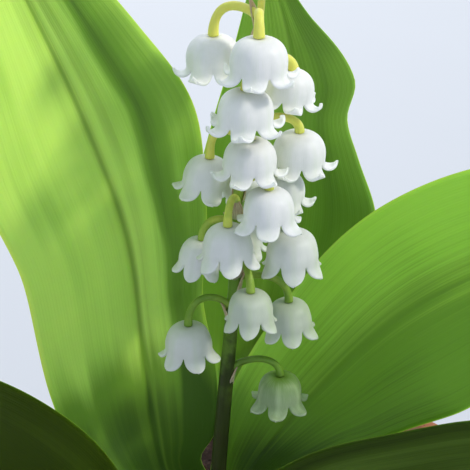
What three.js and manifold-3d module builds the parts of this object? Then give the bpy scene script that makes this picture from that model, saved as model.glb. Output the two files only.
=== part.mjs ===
// A potted lily of the valley (Convallaria majalis): three leafy shoots, each a pair of leaves in a
// papery basal sheath, one flowering stalk with nodding six-lobed bells, the rootstock that joins the
// shoots, potting soil, and a plain clay pot. Millimetres, +Z up, origin at the centre of the pot's base.

import * as THREE from 'three';
import { mergeVertices } from 'three/addons/utils/BufferGeometryUtils.js';
import Module from 'manifold-3d';

const wasm = await Module();
wasm.setup();

// ---------------------------------------------------------------- driving dimensions

const GAP = 0.3;                    // between pieces that touch
const SAME_POINT = 1e-4;            // points nearer than this are one
const FLAT = 1e-3;                  // a cross-section that turns less than this, in radians, is straight

const POT_HEIGHT = 112;
const POT_RIM_RADIUS = 66;
const POT_RIM_HEIGHT = 24;
const POT_RIM_STEP = 4;             // how far the rim stands proud of the wall below it
const POT_RIM_DRAFT = 2.5;          // how much narrower the rim is at its lower edge
const POT_FOOT_RADIUS = 43;
const POT_MOUTH_RADIUS = 61;
const POT_FLOOR_RADIUS = 38.5;
const POT_FLOOR = 6;
const POT_EDGE = 1.5;               // bevel of the foot and the rim
const POT_SIDES = 32;
const DRAIN_COUNT = 3;
const DRAIN_RADIUS = 5;
const DRAIN_CIRCLE = 22;
const DRAIN_SIDES = 8;
const DRAIN_TURN = 0.25;            // of the first drain, as a share of the way to the next

const SOIL_DROP = 11;               // soil surface below the rim
const SOIL_HEIGHT = POT_HEIGHT - SOIL_DROP;
const SOIL_BUMP = 1.2;
const SOIL_RINGS = 6;
const MOUND_WAVES = [0.19, 0.16];   // of the broad mounds along x and y, in radians per millimetre
const MOUND_START = 1;
const RIDGE_WAVES = [0.4, 0.33];    // of the finer ridges that run slantwise over them
const RIDGE_SHARE = 0.5;            // of the height of the mounds

const CROWN_DEPTH = 14;             // the shoots stand on the rootstock this far below the soil surface
const CROWN_THICKNESS = 7;
const RHIZOME_RADIUS = 2.6;
const RHIZOME_SIDES = 6;
const RHIZOME_STEPS = 4;
const RHIZOME_BOW = [[-2, 0, -1.5], [2, 0, -1.5]];   // how far the middle of each rhizome bends away
const ROOT_RADIUS = 0.9;
const ROOT_TIP_RADIUS = 0.54;
const ROOT_SIDES = 5;
const ROOT_STEPS = 3;
const ROOT_DROP = 34;
const ROOT_REACHES = [14, 17, 20];  // of the roots of the front, rear and side crowns
const ROOT_TURNS = [0.5, 1.44, 2.38];
const ROOTS_PER_CROWN = 2;
const ROOT_GATHER = 0.5;            // how far the roots' ends draw in towards the middle of the pot
const ROOT_KNEE_REACH = 0.6;        // how far out and down the bend of a root lies, in shares of its
const ROOT_KNEE_DROP = 0.2;         // reach and drop
const ROOT_CLEARANCE = 0.8;

const OUTER_WRAP = 3.8;             // radius of the leaf stalk that wraps its partner
const INNER_WRAP = 1.95;
const WRAP_ANGLE = 150;             // how far each half of a wrapped leaf stalk turns, in degrees
const BLADE_THICKNESS = 0.8;
const MIDRIB_THICKNESS = 1.4;
const LEAF_STEPS = 16;
const LEAF_COLUMNS = 6;
const LEAF_SPACING = 1.25;          // above 1, the steps lie closer together near the foot
const LEAF_FEET = [-4, 5];          // heights to which a keel runs straight up through its sheath
const TIP_TURN_START = 0.4;         // share of the length from which the face turns to the tip's way
const RIPPLE_SKEW = 0.25;           // how far the margins' ripples run ahead of one another, in waves
const RIPPLE_END = 0.17;            // share of the length over which the ripples die out at the tip
const MIDRIB_SPREAD = 0.4;          // share of the half-width over which the midrib thins to the blade
const MIDRIB_END = 0.8;             // share of the length from which it thins towards the tip

const SHEATH_CLEARANCE = 0.8;
const SHEATH_WALL = 0.7;
const SHEATH_SIDES = 14;

const STALK_RADIUS = 1.35;
const STALK_TOP_RADIUS = 0.45;
const STALK_SIDES = 8;
const STALK_STEPS = 16;
const STALK_TAPER = [0.3, 1.02];    // shares of its length between which it narrows
const PEDICEL_RADIUS = 0.55;
const PEDICEL_SIDES = 5;
const PEDICEL_STEPS = 6;
const PEDICEL_LEAVE = 0.35;         // how far it leans out as it leaves the stalk, as a share of its reach

// ---------------------------------------------------------------- small helpers

const vec = (x, y, z) => new THREE.Vector3(x, y, z);
const radians = THREE.MathUtils.degToRad;
const lerp = THREE.MathUtils.lerp;
const smooth = (x, from, to) => THREE.MathUtils.smoothstep(x, from, to);

function geometryOf(positions, faces) {
  const geometry = new THREE.BufferGeometry();
  const values = positions.flatMap((p) => [p.x, p.y, p.z]);
  geometry.setAttribute('position', new THREE.Float32BufferAttribute(values, 3));
  geometry.setIndex(faces.flat());
  return geometry;
}

// A closed three.js geometry as a manifold-3d solid.
function solidOf(geometry) {
  const bare = geometry.clone();
  bare.deleteAttribute('normal');
  bare.deleteAttribute('uv');
  const merged = mergeVertices(bare, SAME_POINT);
  return new wasm.Manifold(new wasm.Mesh({
    numProp: 3,
    vertProperties: merged.attributes.position.array,
    triVerts: new Uint32Array(merged.index.array),
  }));
}

function geometryFrom(solid) {
  const { numProp, vertProperties, triVerts } = solid.getMesh();
  const count = vertProperties.length / numProp;
  const position = new Float32Array(count * 3);
  for (let i = 0; i < count; i++) {
    position.set(vertProperties.subarray(i * numProp, i * numProp + 3), i * 3);
  }
  const geometry = new THREE.BufferGeometry();
  geometry.setAttribute('position', new THREE.BufferAttribute(position, 3));
  geometry.setIndex(new THREE.BufferAttribute(new Uint32Array(triVerts), 1));
  return geometry;
}

const fuse = (solids) => solids.reduce((all, next) => all.add(next));

// Sections (arrays of points, all of one length) joined side by side.
function bands(sections, closed) {
  const sides = sections[0].length;
  const faces = [];
  for (let i = 0; i < sections.length - (closed ? 0 : 1); i++) {
    const above = ((i + 1) % sections.length) * sides;
    for (let j = 0; j < sides; j++) {
      const k = (j + 1) % sides;
      faces.push([i * sides + j, i * sides + k, above + k], [i * sides + j, above + k, above + j]);
    }
  }
  return faces;
}

// A tube through the sections, with flat ends.
function loft(sections) {
  const sides = sections[0].length;
  const last = (sections.length - 1) * sides;
  const faces = bands(sections, false);
  for (let j = 1; j + 1 < sides; j++) {
    faces.push([0, j + 1, j], [last, last + j, last + j + 1]);
  }
  return geometryOf(sections.flat(), faces);
}

// A round tube along a curve, whose radius is a function of the share of its length.
function tube(curve, radiusAt, sides, steps) {
  const frames = curve.computeFrenetFrames(steps, false);
  const sections = [];
  for (let i = 0; i <= steps; i++) {
    const centre = curve.getPointAt(i / steps);
    const radius = radiusAt(i / steps);
    sections.push(Array.from({ length: sides }, (_, j) => {
      const angle = (2 * Math.PI * j) / sides;
      return centre.clone()
        .addScaledVector(frames.normals[i], radius * Math.cos(angle))
        .addScaledVector(frames.binormals[i], radius * Math.sin(angle));
    }));
  }
  return loft(sections);
}

// The value at x of a smooth curve through [x, value] keys.
function through(keys, x) {
  const last = keys.length - 1;
  if (x >= keys[last][0]) return keys[last][1];
  const i = Math.max(0, keys.findIndex(([at]) => at > x) - 1);
  const slope = (k) => {
    const [before, after] = [keys[Math.max(0, k - 1)], keys[Math.min(last, k + 1)]];
    return (after[1] - before[1]) / (after[0] - before[0]);
  };
  const [[x0, y0], [x1, y1]] = [keys[i], keys[i + 1]];
  const t = (x - x0) / (x1 - x0);
  return y0 * (1 + 2 * t) * (1 - t) ** 2 + y1 * t * t * (3 - 2 * t)
    + (x1 - x0) * t * (1 - t) * (slope(i) * (1 - t) - slope(i + 1) * t);
}

const part = new THREE.Group();
part.name = 'potted_lily_of_the_valley';

function addPiece(group, name, geometry, material) {
  const mesh = new THREE.Mesh(geometry, material);
  mesh.name = name;
  geometry.computeVertexNormals();
  group.add(mesh);
}

const finish = (color, roughness) => new THREE.MeshStandardMaterial({ color, roughness, metalness: 0 });
const clay = finish(0xb5653f, 0.85);
const peat = finish(0x33251c, 0.95);
const rootstockSkin = finish(0xc9b48a, 0.8);
const paper = finish(0x8b6f6a, 0.7);
const leafGreen = finish(0x5f9c2e, 0.45);
const stalkGreen = finish(0x7ea03a, 0.5);
const petalWhite = finish(0xf3f4ee, 0.45);
const budGreen = finish(0xdfe8c0, 0.5);

// ---------------------------------------------------------------- the three shoots

// Each shoot is a pair of leaf stalks, one wrapped round the other; the first shoot also has the
// flowering stalk beside them. Heights here and below are above the soil surface.
const STALK_FOOT = [-4.4, -0.2];
const SHOOTS = {
  front: { centre: [-4, 7], stalk: STALK_FOOT, sheath: 9, low: 0.4 },
  rear: { centre: [5.6, 34], sheath: 6.5, low: 2.2 },
  side: { centre: [-1, -23], sheath: 8, low: 1.2 },
};

const shoots = new THREE.Group();
shoots.position.z = SOIL_HEIGHT;
part.add(shoots);

// The circles [x, y, radius] that a shoot's stalks fill where they leave the soil.
function shootCircles({ centre, stalk }) {
  const circles = [[...centre, OUTER_WRAP + MIDRIB_THICKNESS / 2]];
  if (stalk) circles.push([...stalk, STALK_RADIUS]);
  return circles;
}

// The convex outline round the circles, grown by an offset, at a height.
function outlineRound(circles, offset, z, sides) {
  return Array.from({ length: sides }, (_, i) => {
    const angle = (2 * Math.PI * i) / sides;
    const reach = ([x, y, radius]) => x * Math.cos(angle) + y * Math.sin(angle) + radius;
    const [x, y, radius] = circles.reduce((best, next) => (reach(next) > reach(best) ? next : best));
    return vec(x + (radius + offset) * Math.cos(angle), y + (radius + offset) * Math.sin(angle), z);
  });
}

// ---------------------------------------------------------------- leaves

// A blade's cross-section leaves the keel at angle `fold` and has turned to angle `edge` at the margin.
// Returns how far out and how far up a share of the half-width lies, and its angle there.
function sectionPoint(share, halfWidth, fold, edge) {
  const angle = lerp(fold, edge, share);
  if (Math.abs(edge - fold) < FLAT) {
    return { out: share * halfWidth * Math.cos(fold), up: share * halfWidth * Math.sin(fold), angle };
  }
  const radius = halfWidth / (edge - fold);
  const out = radius * (Math.sin(angle) - Math.sin(fold));
  const up = radius * (Math.cos(fold) - Math.cos(angle));
  return { out, up, angle };
}

// Each leaf: the shoot and the wrap its stalk belongs to, the way the inside of the wrap and the face of
// the blade look, its keel above the sheath, the half-widths of its left and right halves as seen on its
// face by share of length, the angles of its cross-section, and where along it the wrap opens.
const LEAVES = {
  leaf_left: {
    shoot: SHOOTS.front, wrap: OUTER_WRAP,
    faceFoot: [1, 0, 0], faceBlade: [0.25, -1, 0.15], faceTip: [0.45, -1, 0.1],
    keel: [[-9.4, 7.8, 17], [-13.6, 9, 30], [-16, 10.5, 52], [-17.8, 10, 76], [-22.8, 6.5, 97],
      [-29, -1, 119], [-38, -12, 146]],
    left: [[0.2, 8.6], [0.28, 13], [0.34, 16.6], [0.42, 18.6], [0.55, 19.5], [0.7, 19.5], [0.85, 12],
      [1, 0.6]],
    right: [[0.2, 9.4], [0.26, 7.6], [0.295, 11], [0.34, 12.4], [0.4, 12.4], [0.48, 11.2], [0.57, 14],
      [0.67, 16.8], [0.76, 13.2], [0.88, 7.1], [1, 0.6]],
    fold: 24, edge: 8, open: [0.09, 0.34], ripple: 0.8, waves: 1.6, phase: 0.1,
  },
  leaf_right: {
    shoot: SHOOTS.front, wrap: INNER_WRAP,
    faceFoot: [-1, 0, 0], faceBlade: [-0.5, -0.85, 0.35], faceTip: [-0.35, -0.7, 0.6],
    keel: [[-1, 6.6, 18], [1.8, 5.6, 28], [7.6, 5.8, 38], [17.1, 6.8, 50.2], [29.6, 3.6, 66],
      [46, -5, 81], [71, -20, 96]],
    left: [[0.24, 5.6], [0.32, 9], [0.4, 13], [0.5, 15.6], [0.66, 17.4], [0.82, 13.4], [1, 0.6]],
    right: [[0.24, 5.2], [0.32, 5.5], [0.4, 9], [0.5, 14.8], [0.65, 19], [0.82, 13], [1, 0.6]],
    fold: 24, edge: 6, open: [0.19, 0.42], ripple: 0.8, waves: 1.4, phase: 0.3,
  },
  leaf_back: {
    shoot: SHOOTS.rear, wrap: OUTER_WRAP,
    faceFoot: [1, -0.3, 0], faceBlade: [0.15, -1, 0.05], faceTip: [0.1, -1, 0.15],
    keel: [[1.6, 35, 20], [4.6, 34.5, 43], [9, 33, 72], [10, 30, 100], [4.6, 26, 121]],
    left: [[0.22, 9.4], [0.4, 13], [0.6, 17], [0.75, 15.5], [0.88, 10.5], [1, 0.6]],
    right: [[0.22, 9.4], [0.4, 14], [0.58, 18.2], [0.64, 17], [0.71, 12.6], [0.76, 10], [0.81, 11],
      [0.9, 4.2], [1, 0.6]],
    fold: 16, edge: 0, open: [0.1, 0.38], ripple: 1.2, waves: 2.4, phase: 0.55,
  },
  leaf_rear: {
    shoot: SHOOTS.rear, wrap: INNER_WRAP,
    faceFoot: [-1, 0.3, 0], faceBlade: [-0.1, -1, 0.4], faceTip: [-0.3, -0.4, 0.9],
    keel: [[7.7, 33, 11], [8.6, 29.8, 20], [11.5, 25.4, 30], [19, 23, 41], [34, 26, 52], [56, 35, 57]],
    left: [[0.28, 5], [0.45, 8.5], [0.65, 12.5], [0.85, 9], [1, 0.6]],
    right: [[0.28, 5.6], [0.45, 11.5], [0.65, 14.5], [0.85, 9], [1, 0.6]],
    fold: 20, edge: 4, open: [0.24, 0.5], ripple: 0.8, waves: 1.3, phase: 0.2,
  },
  leaf_low_left: {
    shoot: SHOOTS.side, wrap: OUTER_WRAP,
    faceFoot: [1, 0, 0], faceBlade: [0.55, -0.4, 0.7], faceTip: [0.2, -0.3, 0.9],
    keel: [[-7.2, -23.4, 14], [-13, -25.5, 25.5], [-23.5, -27.7, 41], [-33, -29.5, 54.5],
      [-45, -32, 67], [-60, -37, 76]],
    left: [[0.2, 9.4], [0.4, 13], [0.62, 17], [0.82, 12], [1, 0.6]],
    right: [[0.2, 9.4], [0.4, 10.2], [0.62, 15.6], [0.82, 12.5], [1, 0.6]],
    fold: 22, edge: 4, open: [0.12, 0.4], ripple: 0.9, waves: 1.5, phase: 0.4,
  },
  leaf_low_right: {
    shoot: SHOOTS.side, wrap: INNER_WRAP,
    faceFoot: [-1, 0, 0], faceBlade: [-0.5, -0.5, 0.7], faceTip: [-0.1, -0.5, 0.9],
    keel: [[1.9, -23.4, 16], [5.6, -23, 27], [16, -21, 37.5], [32, -22.5, 44.2], [51, -28, 49.5],
      [75, -37, 47]],
    left: [[0.24, 5.6], [0.3, 9.2], [0.35, 14.8], [0.4, 15.8], [0.47, 14.8], [0.56, 13.9], [0.68, 14.2],
      [0.82, 12.4], [1, 0.6]],
    right: [[0.24, 5.6], [0.38, 12], [0.55, 16.5], [0.8, 12], [1, 0.6]],
    fold: 22, edge: 4, open: [0.2, 0.44], ripple: 0.9, waves: 1.4, phase: 0.7,
  },
};

// The keel runs straight up through the sheath, at the back of the wrap, and then through its own points.
function keelCurve({ shoot, wrap, faceFoot, keel }) {
  const face = vec(...faceFoot).normalize();
  const [x, y] = [shoot.centre[0] - wrap * face.x, shoot.centre[1] - wrap * face.y];
  const foot = [-CROWN_DEPTH + GAP, ...LEAF_FEET].map((z) => vec(x, y, z));
  return new THREE.CatmullRomCurve3([...foot, ...keel.map((p) => vec(...p))]);
}

// Both faces of the blade are split along the same diagonals, so that they never meet.
function leafGeometry(leaf) {
  const keel = keelCurve(leaf);
  const wrapHalf = leaf.wrap * radians(WRAP_ANGLE);
  const upper = [];
  const lower = [];
  for (let i = 0; i <= LEAF_STEPS; i++) {
    const u = i === 0 ? 0 : lerp(leaf.open[0], 1, ((i - 1) / (LEAF_STEPS - 1)) ** LEAF_SPACING);
    const opened = smooth(u, ...leaf.open);
    const along = keel.getTangentAt(u);
    const facing = vec(...leaf.faceFoot).lerp(vec(...leaf.faceBlade), opened);
    facing.lerp(vec(...leaf.faceTip), smooth(u, TIP_TURN_START, 1));
    facing.addScaledVector(along, -facing.dot(along)).normalize();
    const across = vec(0, 0, 0).crossVectors(along, facing);
    const fold = lerp(0, radians(leaf.fold), opened);
    const edge = lerp(radians(WRAP_ANGLE), radians(leaf.edge), opened);
    for (let j = 0; j <= LEAF_COLUMNS; j++) {
      const v = (2 * j) / LEAF_COLUMNS - 1;
      const side = v < 0 ? -1 : 1;
      const keys = v < 0 ? leaf.left : leaf.right;
      const [firstKey, firstWidth] = keys[0];
      const halfWidth = u < firstKey
        ? lerp(wrapHalf, firstWidth, smooth(u, firstKey / 2, firstKey))
        : through(keys, u);
      const { out, up, angle } = sectionPoint(Math.abs(v), halfWidth, fold, edge);
      const wave = leaf.ripple * v * v
        * Math.sin(2 * Math.PI * (leaf.waves * u + leaf.phase + RIPPLE_SKEW * v));
      const point = keel.getPointAt(u)
        .addScaledVector(across, side * out)
        .addScaledVector(facing, up + wave * opened * Math.min(1, (1 - u) / RIPPLE_END));
      const normal = v === 0 ? facing.clone()
        : facing.clone().multiplyScalar(Math.cos(angle)).addScaledVector(across, -side * Math.sin(angle));
      const fromMidrib = Math.abs(v) / MIDRIB_SPREAD;
      const pastItsEnd = (u - MIDRIB_END) / (1 - MIDRIB_END);
      const thinning = Math.min(1, Math.max(fromMidrib, pastItsEnd));
      const thickness = lerp(MIDRIB_THICKNESS, BLADE_THICKNESS, thinning);
      upper.push(point.clone().addScaledVector(normal, thickness / 2));
      lower.push(point.clone().addScaledVector(normal, -thickness / 2));
    }
  }
  const columns = LEAF_COLUMNS + 1;
  const under = upper.length;
  const faces = [];
  for (let i = 0; i < LEAF_STEPS; i++) {
    for (let j = 0; j < LEAF_COLUMNS; j++) {
      const a = i * columns + j;
      const b = a + columns;
      faces.push([a, a + 1, b + 1], [a, b + 1, b]);
      faces.push([under + a, under + b + 1, under + a + 1], [under + a, under + b, under + b + 1]);
    }
    const left = i * columns;
    const right = left + LEAF_COLUMNS;
    faces.push([left, left + columns, under + left + columns]);
    faces.push([left, under + left + columns, under + left]);
    faces.push([right, under + right + columns, right + columns]);
    faces.push([right, under + right, under + right + columns]);
  }
  const tip = LEAF_STEPS * columns;
  for (let j = 0; j < LEAF_COLUMNS; j++) {
    faces.push([j, under + j, under + j + 1], [j, under + j + 1, j + 1]);
    faces.push([tip + j, under + tip + j + 1, under + tip + j], [tip + j, tip + j + 1, under + tip + j + 1]);
  }
  return geometryOf([...upper, ...lower], faces);
}

for (const [name, leaf] of Object.entries(LEAVES)) {
  addPiece(shoots, name, leafGeometry(leaf), leafGreen);
}

// ---------------------------------------------------------------- flowering stalk and flowers

const STALK_CURVE = new THREE.CatmullRomCurve3([
  vec(...STALK_FOOT, -CROWN_DEPTH + GAP), vec(-4, -0.2, 8), vec(-2.8, 0.2, 36), vec(-0.7, 0, 63.5),
  vec(0, 0.5, 72.5), vec(0.4, 0.8, 86), vec(1.8, 0.5, 101), vec(3.3, -0.5, 114), vec(4, -1.5, 124),
  vec(3.8, -3.4, 135),
]);

// Every open flower, from the lowest up: the height at which its pedicel leaves the stalk, the point its
// crown hangs at, its width across the bell, how far its lobes curl back in degrees, how far the pedicel
// arches above the crown, how far its mouth leans to the left in radians and its turn in degrees.
const FLOWERS = [
  { node: 56.5, crown: [7.5, -1.0, 56.3], width: 7.4, curl: 122, rise: 3, turn: 24 },
  { node: 68.5, crown: [-7.6, -1.0, 66.1], width: 7.5, curl: 80, rise: 4.8, turn: -12 },
  { node: 74, crown: [8.7, 0.0, 70.0], width: 7.2, curl: 80, rise: 4.4, lean: -0.05, turn: 34 },
  { node: 76.4, crown: [2.4, -8.0, 76.3], width: 6.9, curl: 60, rise: 2.9, turn: 27 },
  { node: 81, crown: [1.1, 6.4, 81.1], width: 6.6, curl: 90, rise: 2.2, turn: 10 },
  { node: 83.5, crown: [-5.2, 0.5, 81.0], width: 6.6, curl: 60, rise: 3.4, lean: 0.1, turn: 10 },
  { node: 83, crown: [8.9, -3.0, 84.2], width: 8, curl: 60, rise: 0.6, turn: 30 },
  { node: 87, crown: [-1.1, -6.2, 86.7], width: 7.5, curl: 75, rise: 3, turn: -20 },
  { node: 90, crown: [7.4, 4.0, 91.0], width: 7.4, curl: 190, rise: 0.6 },
  { node: 92, crown: [5.0, -7.6, 93.4], width: 7.6, curl: 110, rise: 0.6, turn: 28 },
  { node: 90, crown: [1.3, 10.5, 88.9], width: 6.4, curl: 110, rise: 1.5 },
  { node: 97, crown: [-3.9, 3.0, 93.9], width: 7.4, curl: 108, rise: 5, lean: 0.13, turn: -13 },
  { node: 100, crown: [9.8, 1.9, 98.6], width: 8.3, curl: 190, rise: 2.6, turn: 4 },
  { node: 101, crown: [2.2, -5.2, 100.3], width: 8, curl: 180, rise: 1.1, turn: 9 },
  { node: 105.6, crown: [1.5, -7.6, 108.7], width: 8.3, curl: 190, rise: 0.5, turn: 24 },
  { node: 110.5, crown: [8.6, 1.4, 108.6], width: 7.4, curl: 200, rise: 2.2, lean: 0.14, turn: 40 },
  { node: 114.5, crown: [3.3, -7.5, 116.2], width: 8.4, curl: 175, rise: 2.7, turn: 21 },
  { node: 117, crown: [-3.2, 3.5, 113.2], width: 8.3, curl: 190, rise: 4.8 },
];

// The last buds at the top of the stalk, still closed.
const BUDS = [
  { node: 125, crown: [8, -2.5, 127], width: 5.2, rise: 1.6, lean: -0.1 },
  { node: 129, crown: [-0.4, -5, 131], width: 4.4, rise: 1.6, lean: 0.1, turn: 20 },
  { node: 133, crown: [6, -6, 134.5], width: 3.6, rise: 1.2, turn: 40 },
];

// A bud's outline in shares of its width: distance from the axis and drop below the crown.
const BUD_OUTLINE = [[0, 0], [0.3, 0.05], [0.48, 0.3], [0.5, 0.58], [0.32, 0.86], [0, 0.96]];
const BUD_SIDES = 10;

// A bract's sections: rise and reach from the stalk's surface, and half-width.
const BRACT_SECTIONS = [[-0.6, -0.3, 0.5], [1.2, 0.35, 0.75], [3.6, 1.1, 0.15]];
const BRACT_THICKNESS = 0.6;
const BRACT_DROP = 1.7;             // below its pedicel
const BRACT_BASE = 0.6;             // how far out it starts, in shares of the stalk's radius

// The bell's outline in shares of its width: distance from the axis and drop below the crown. The inside
// follows only some of its rows.
const BELL_OUTLINE = [[0.17, 0.01], [0.35, 0.08], [0.46, 0.22], [0.495, 0.39], [0.482, 0.56]];
const BELL_INNER_ROWS = [1, 4];
const BELL_WALL = 0.62;
const BELL_APEX = 0.012;            // drop of the crown's middle, in shares of the width
const BELL_GROOVE = 0.965;          // how far the grooves between the ribs draw in the wall
const LOBES = 6;
const LOBE_LENGTH = 0.34;           // in shares of the bell's width
const LOBE_START = -4;              // the lobes leave the wall a little inward, in degrees
const LOBE_GATHER = 1.25;           // above 1, the lobes curl mostly towards their tips
const LOBE_ROWS = [[0.4, 0.86], [0.78, 0.56], [1, 0]];   // share of the length, share of the half-width
const LOBE_ARC_STEPS = 12;

// Distance from the axis and drop of a point on a lobe, at a share of the lobe's length.
function lobeProfile(share, curl) {
  const angleAt = (at) => radians(lerp(LOBE_START, curl, at ** LOBE_GATHER));
  const step = (LOBE_LENGTH * share) / LOBE_ARC_STEPS;
  let [out, drop] = BELL_OUTLINE.at(-1);
  for (let i = 0; i < LOBE_ARC_STEPS; i++) {
    const angle = angleAt((share * (i + 0.5)) / LOBE_ARC_STEPS);
    out += Math.sin(angle) * step;
    drop += Math.cos(angle) * step;
  }
  return { out, drop, angle: angleAt(share) };
}

// The direction, out and down, in which the bell's wall faces at a row of its outline.
function outlineNormal(row) {
  const before = BELL_OUTLINE[Math.max(0, row - 1)];
  const after = BELL_OUTLINE[Math.min(BELL_OUTLINE.length - 1, row + 1)];
  const run = vec(after[0] - before[0], after[1] - before[1], 0).normalize();
  return { out: run.y, drop: -run.x };
}

// A thin-walled bell hanging from the origin, mouth down, its rim cut into six recurved lobes.
function bellGeometry({ width, curl }) {
  const positions = [];
  const faces = [];
  const around = 2 * LOBES;
  const at = (out, drop, angle) => {
    positions.push(vec(out * Math.cos(angle), out * Math.sin(angle), -drop));
    return positions.length - 1;
  };
  // One skin of the wall; returns the run of points along its rim.
  const skin = (isOutside) => {
    const face = (a, b, c) => faces.push(isOutside ? [a, b, c] : [a, c, b]);
    const depth = isOutside ? 0 : -BELL_WALL;
    const rows = isOutside ? BELL_OUTLINE.map((_, i) => i) : BELL_INNER_ROWS;
    const apex = at(0, BELL_APEX * width - depth, 0);
    const rings = rows.map((row) => {
      const [out, drop] = BELL_OUTLINE[row];
      const normal = outlineNormal(row);
      const grooved = row > 0 && row + 1 < BELL_OUTLINE.length;
      return Array.from({ length: around }, (_, j) => {
        const radius = out * width * (grooved && j % 2 ? BELL_GROOVE : 1);
        return at(radius + normal.out * depth, drop * width + normal.drop * depth, (Math.PI * j) / LOBES);
      });
    });
    for (let j = 0; j < around; j++) {
      const k = (j + 1) % around;
      face(apex, rings[0][j], rings[0][k]);
      for (let i = 0; i + 1 < rings.length; i++) {
        face(rings[i][j], rings[i + 1][j], rings[i + 1][k]);
        face(rings[i][j], rings[i + 1][k], rings[i][k]);
      }
    }
    // The lobes' middles are the even columns, the notches between them the odd ones.
    const base = rings.at(-1);
    return Array.from({ length: LOBES }, (_, lobe) => {
      const middle = 2 * lobe;
      const root = [-1, 0, 1].map((step) => base[(middle + step + around) % around]);
      const [near, far, [tip]] = LOBE_ROWS.map(([share, spread]) => {
        const { out, drop, angle } = lobeProfile(share, curl);
        const radius = out * width + Math.cos(angle) * depth;
        const down = drop * width - Math.sin(angle) * depth;
        const columns = spread > 0 ? [-spread, 0, spread] : [0];
        return columns.map((column) => at(radius, down, (Math.PI * (middle + column)) / LOBES));
      });
      for (let c = 0; c < 2; c++) {
        face(root[c], near[c], near[c + 1]);
        face(root[c], near[c + 1], root[c + 1]);
        face(near[c], far[c], far[c + 1]);
        face(near[c], far[c + 1], near[c + 1]);
        face(far[c], tip, far[c + 1]);
      }
      return [root[0], near[0], far[0], tip, far[2], near[2]];
    }).flat();
  };
  const outer = skin(true);
  const inner = skin(false);
  for (let i = 0; i < outer.length; i++) {
    const k = (i + 1) % outer.length;
    faces.push([outer[i], inner[i], inner[k]], [outer[i], inner[k], outer[k]]);
  }
  return geometryOf(positions, faces);
}

// The share of the stalk's length at which it reaches a height.
const BISECTIONS = 30;
function stalkShare(height) {
  let [low, high] = [0, 1];
  for (let i = 0; i < BISECTIONS; i++) {
    const middle = (low + high) / 2;
    if (STALK_CURVE.getPointAt(middle).z < height) low = middle;
    else high = middle;
  }
  return low;
}

const stalkRadiusAt = (share) => lerp(STALK_RADIUS, STALK_TOP_RADIUS, smooth(share, ...STALK_TAPER));

// A pedicel arches out of the stalk, up to its rise above the crown, and comes down on the crown. Halfway
// along it, its height is an eighth of its ends' heights plus three quarters of its handles'.
function pedicelCurve({ node, crown, rise }) {
  const root = STALK_CURVE.getPointAt(stalkShare(node));
  const end = vec(...crown);
  const handle = (end.z + rise - (root.z + end.z) / 8) / 0.75;
  const leave = root.clone().lerp(end, PEDICEL_LEAVE).setZ(handle);
  const arrive = vec(end.x, end.y, handle);
  return new THREE.CubicBezierCurve3(root, leave, arrive, end.clone().add(vec(0, 0, GAP)));
}

// A small pointed bract under a pedicel, thin across the way the pedicel goes.
function bractGeometry({ node, crown }) {
  const share = stalkShare(node - BRACT_DROP);
  const root = STALK_CURVE.getPointAt(share);
  const out = vec(crown[0] - root.x, crown[1] - root.y, 0).normalize();
  const across = vec(-out.y, out.x, 0);
  const radius = stalkRadiusAt(share);
  return loft(BRACT_SECTIONS.map(([rise, reach, halfWidth]) => {
    const centre = root.clone().addScaledVector(out, radius * BRACT_BASE + reach);
    centre.z += rise;
    return [[1, -1], [1, 1], [-1, 0]].map(([outward, side]) => centre.clone()
      .addScaledVector(out, (outward * BRACT_THICKNESS) / 2)
      .addScaledVector(across, side * halfWidth));
  }));
}

const stalk = [solidOf(tube(STALK_CURVE, stalkRadiusAt, STALK_SIDES, STALK_STEPS))];
for (const flower of [...FLOWERS, ...BUDS]) {
  stalk.push(solidOf(tube(pedicelCurve(flower), () => PEDICEL_RADIUS, PEDICEL_SIDES, PEDICEL_STEPS)));
  stalk.push(solidOf(bractGeometry(flower)));
}
addPiece(shoots, 'flower_stalk', geometryFrom(fuse(stalk)), stalkGreen);

// Hangs a flower or bud at its crown, numbered by its place in its list.
function hang({ crown, lean = 0, turn = 0 }, kind, index, geometry, material) {
  const holder = new THREE.Group();
  holder.position.set(...crown);
  holder.rotation.set(0, lean, radians(turn), 'YXZ');
  addPiece(holder, `${kind}_${String(index + 1).padStart(2, '0')}`, geometry, material);
  shoots.add(holder);
}

// A closed bud, hanging from the origin.
function budGeometry({ width }) {
  const profile = BUD_OUTLINE.map(([out, drop]) => new THREE.Vector2(out * width, -drop * width));
  return new THREE.LatheGeometry(profile.reverse(), BUD_SIDES).rotateX(Math.PI / 2);
}

FLOWERS.forEach((flower, i) => hang(flower, 'flower', i, bellGeometry(flower), petalWhite));
BUDS.forEach((bud, i) => hang(bud, 'bud', i, budGeometry(bud), budGreen));

// ---------------------------------------------------------------- sheaths

const SHEATH_SLANT = 0.38;          // how far the low side of the mouth lies below the middle, as a share

// A papery tube round the foot of a shoot, open at both ends and cut off aslant at its mouth.
function sheathGeometry(shoot) {
  const circles = shootCircles(shoot);
  const foot = -CROWN_DEPTH + GAP;
  const mouth = (ring) => ring.map((p, i) => {
    const angle = (2 * Math.PI * i) / SHEATH_SIDES;
    return vec(p.x, p.y, shoot.sheath * (1 - SHEATH_SLANT * (1 + Math.cos(angle - shoot.low))));
  });
  const ring = (offset, z) => outlineRound(circles, offset, z, SHEATH_SIDES);
  const outside = SHEATH_CLEARANCE + SHEATH_WALL;
  const sections = [ring(outside, foot), ring(outside, 0), mouth(ring(outside, 0)),
    mouth(ring(SHEATH_CLEARANCE, 0)), ring(SHEATH_CLEARANCE, 0), ring(SHEATH_CLEARANCE, foot)];
  return geometryOf(sections.flat(), bands(sections, true));
}

for (const [name, shoot] of Object.entries(SHOOTS)) {
  addPiece(shoots, `sheath_${name}`, sheathGeometry(shoot), paper);
}

// ---------------------------------------------------------------- rootstock

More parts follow.
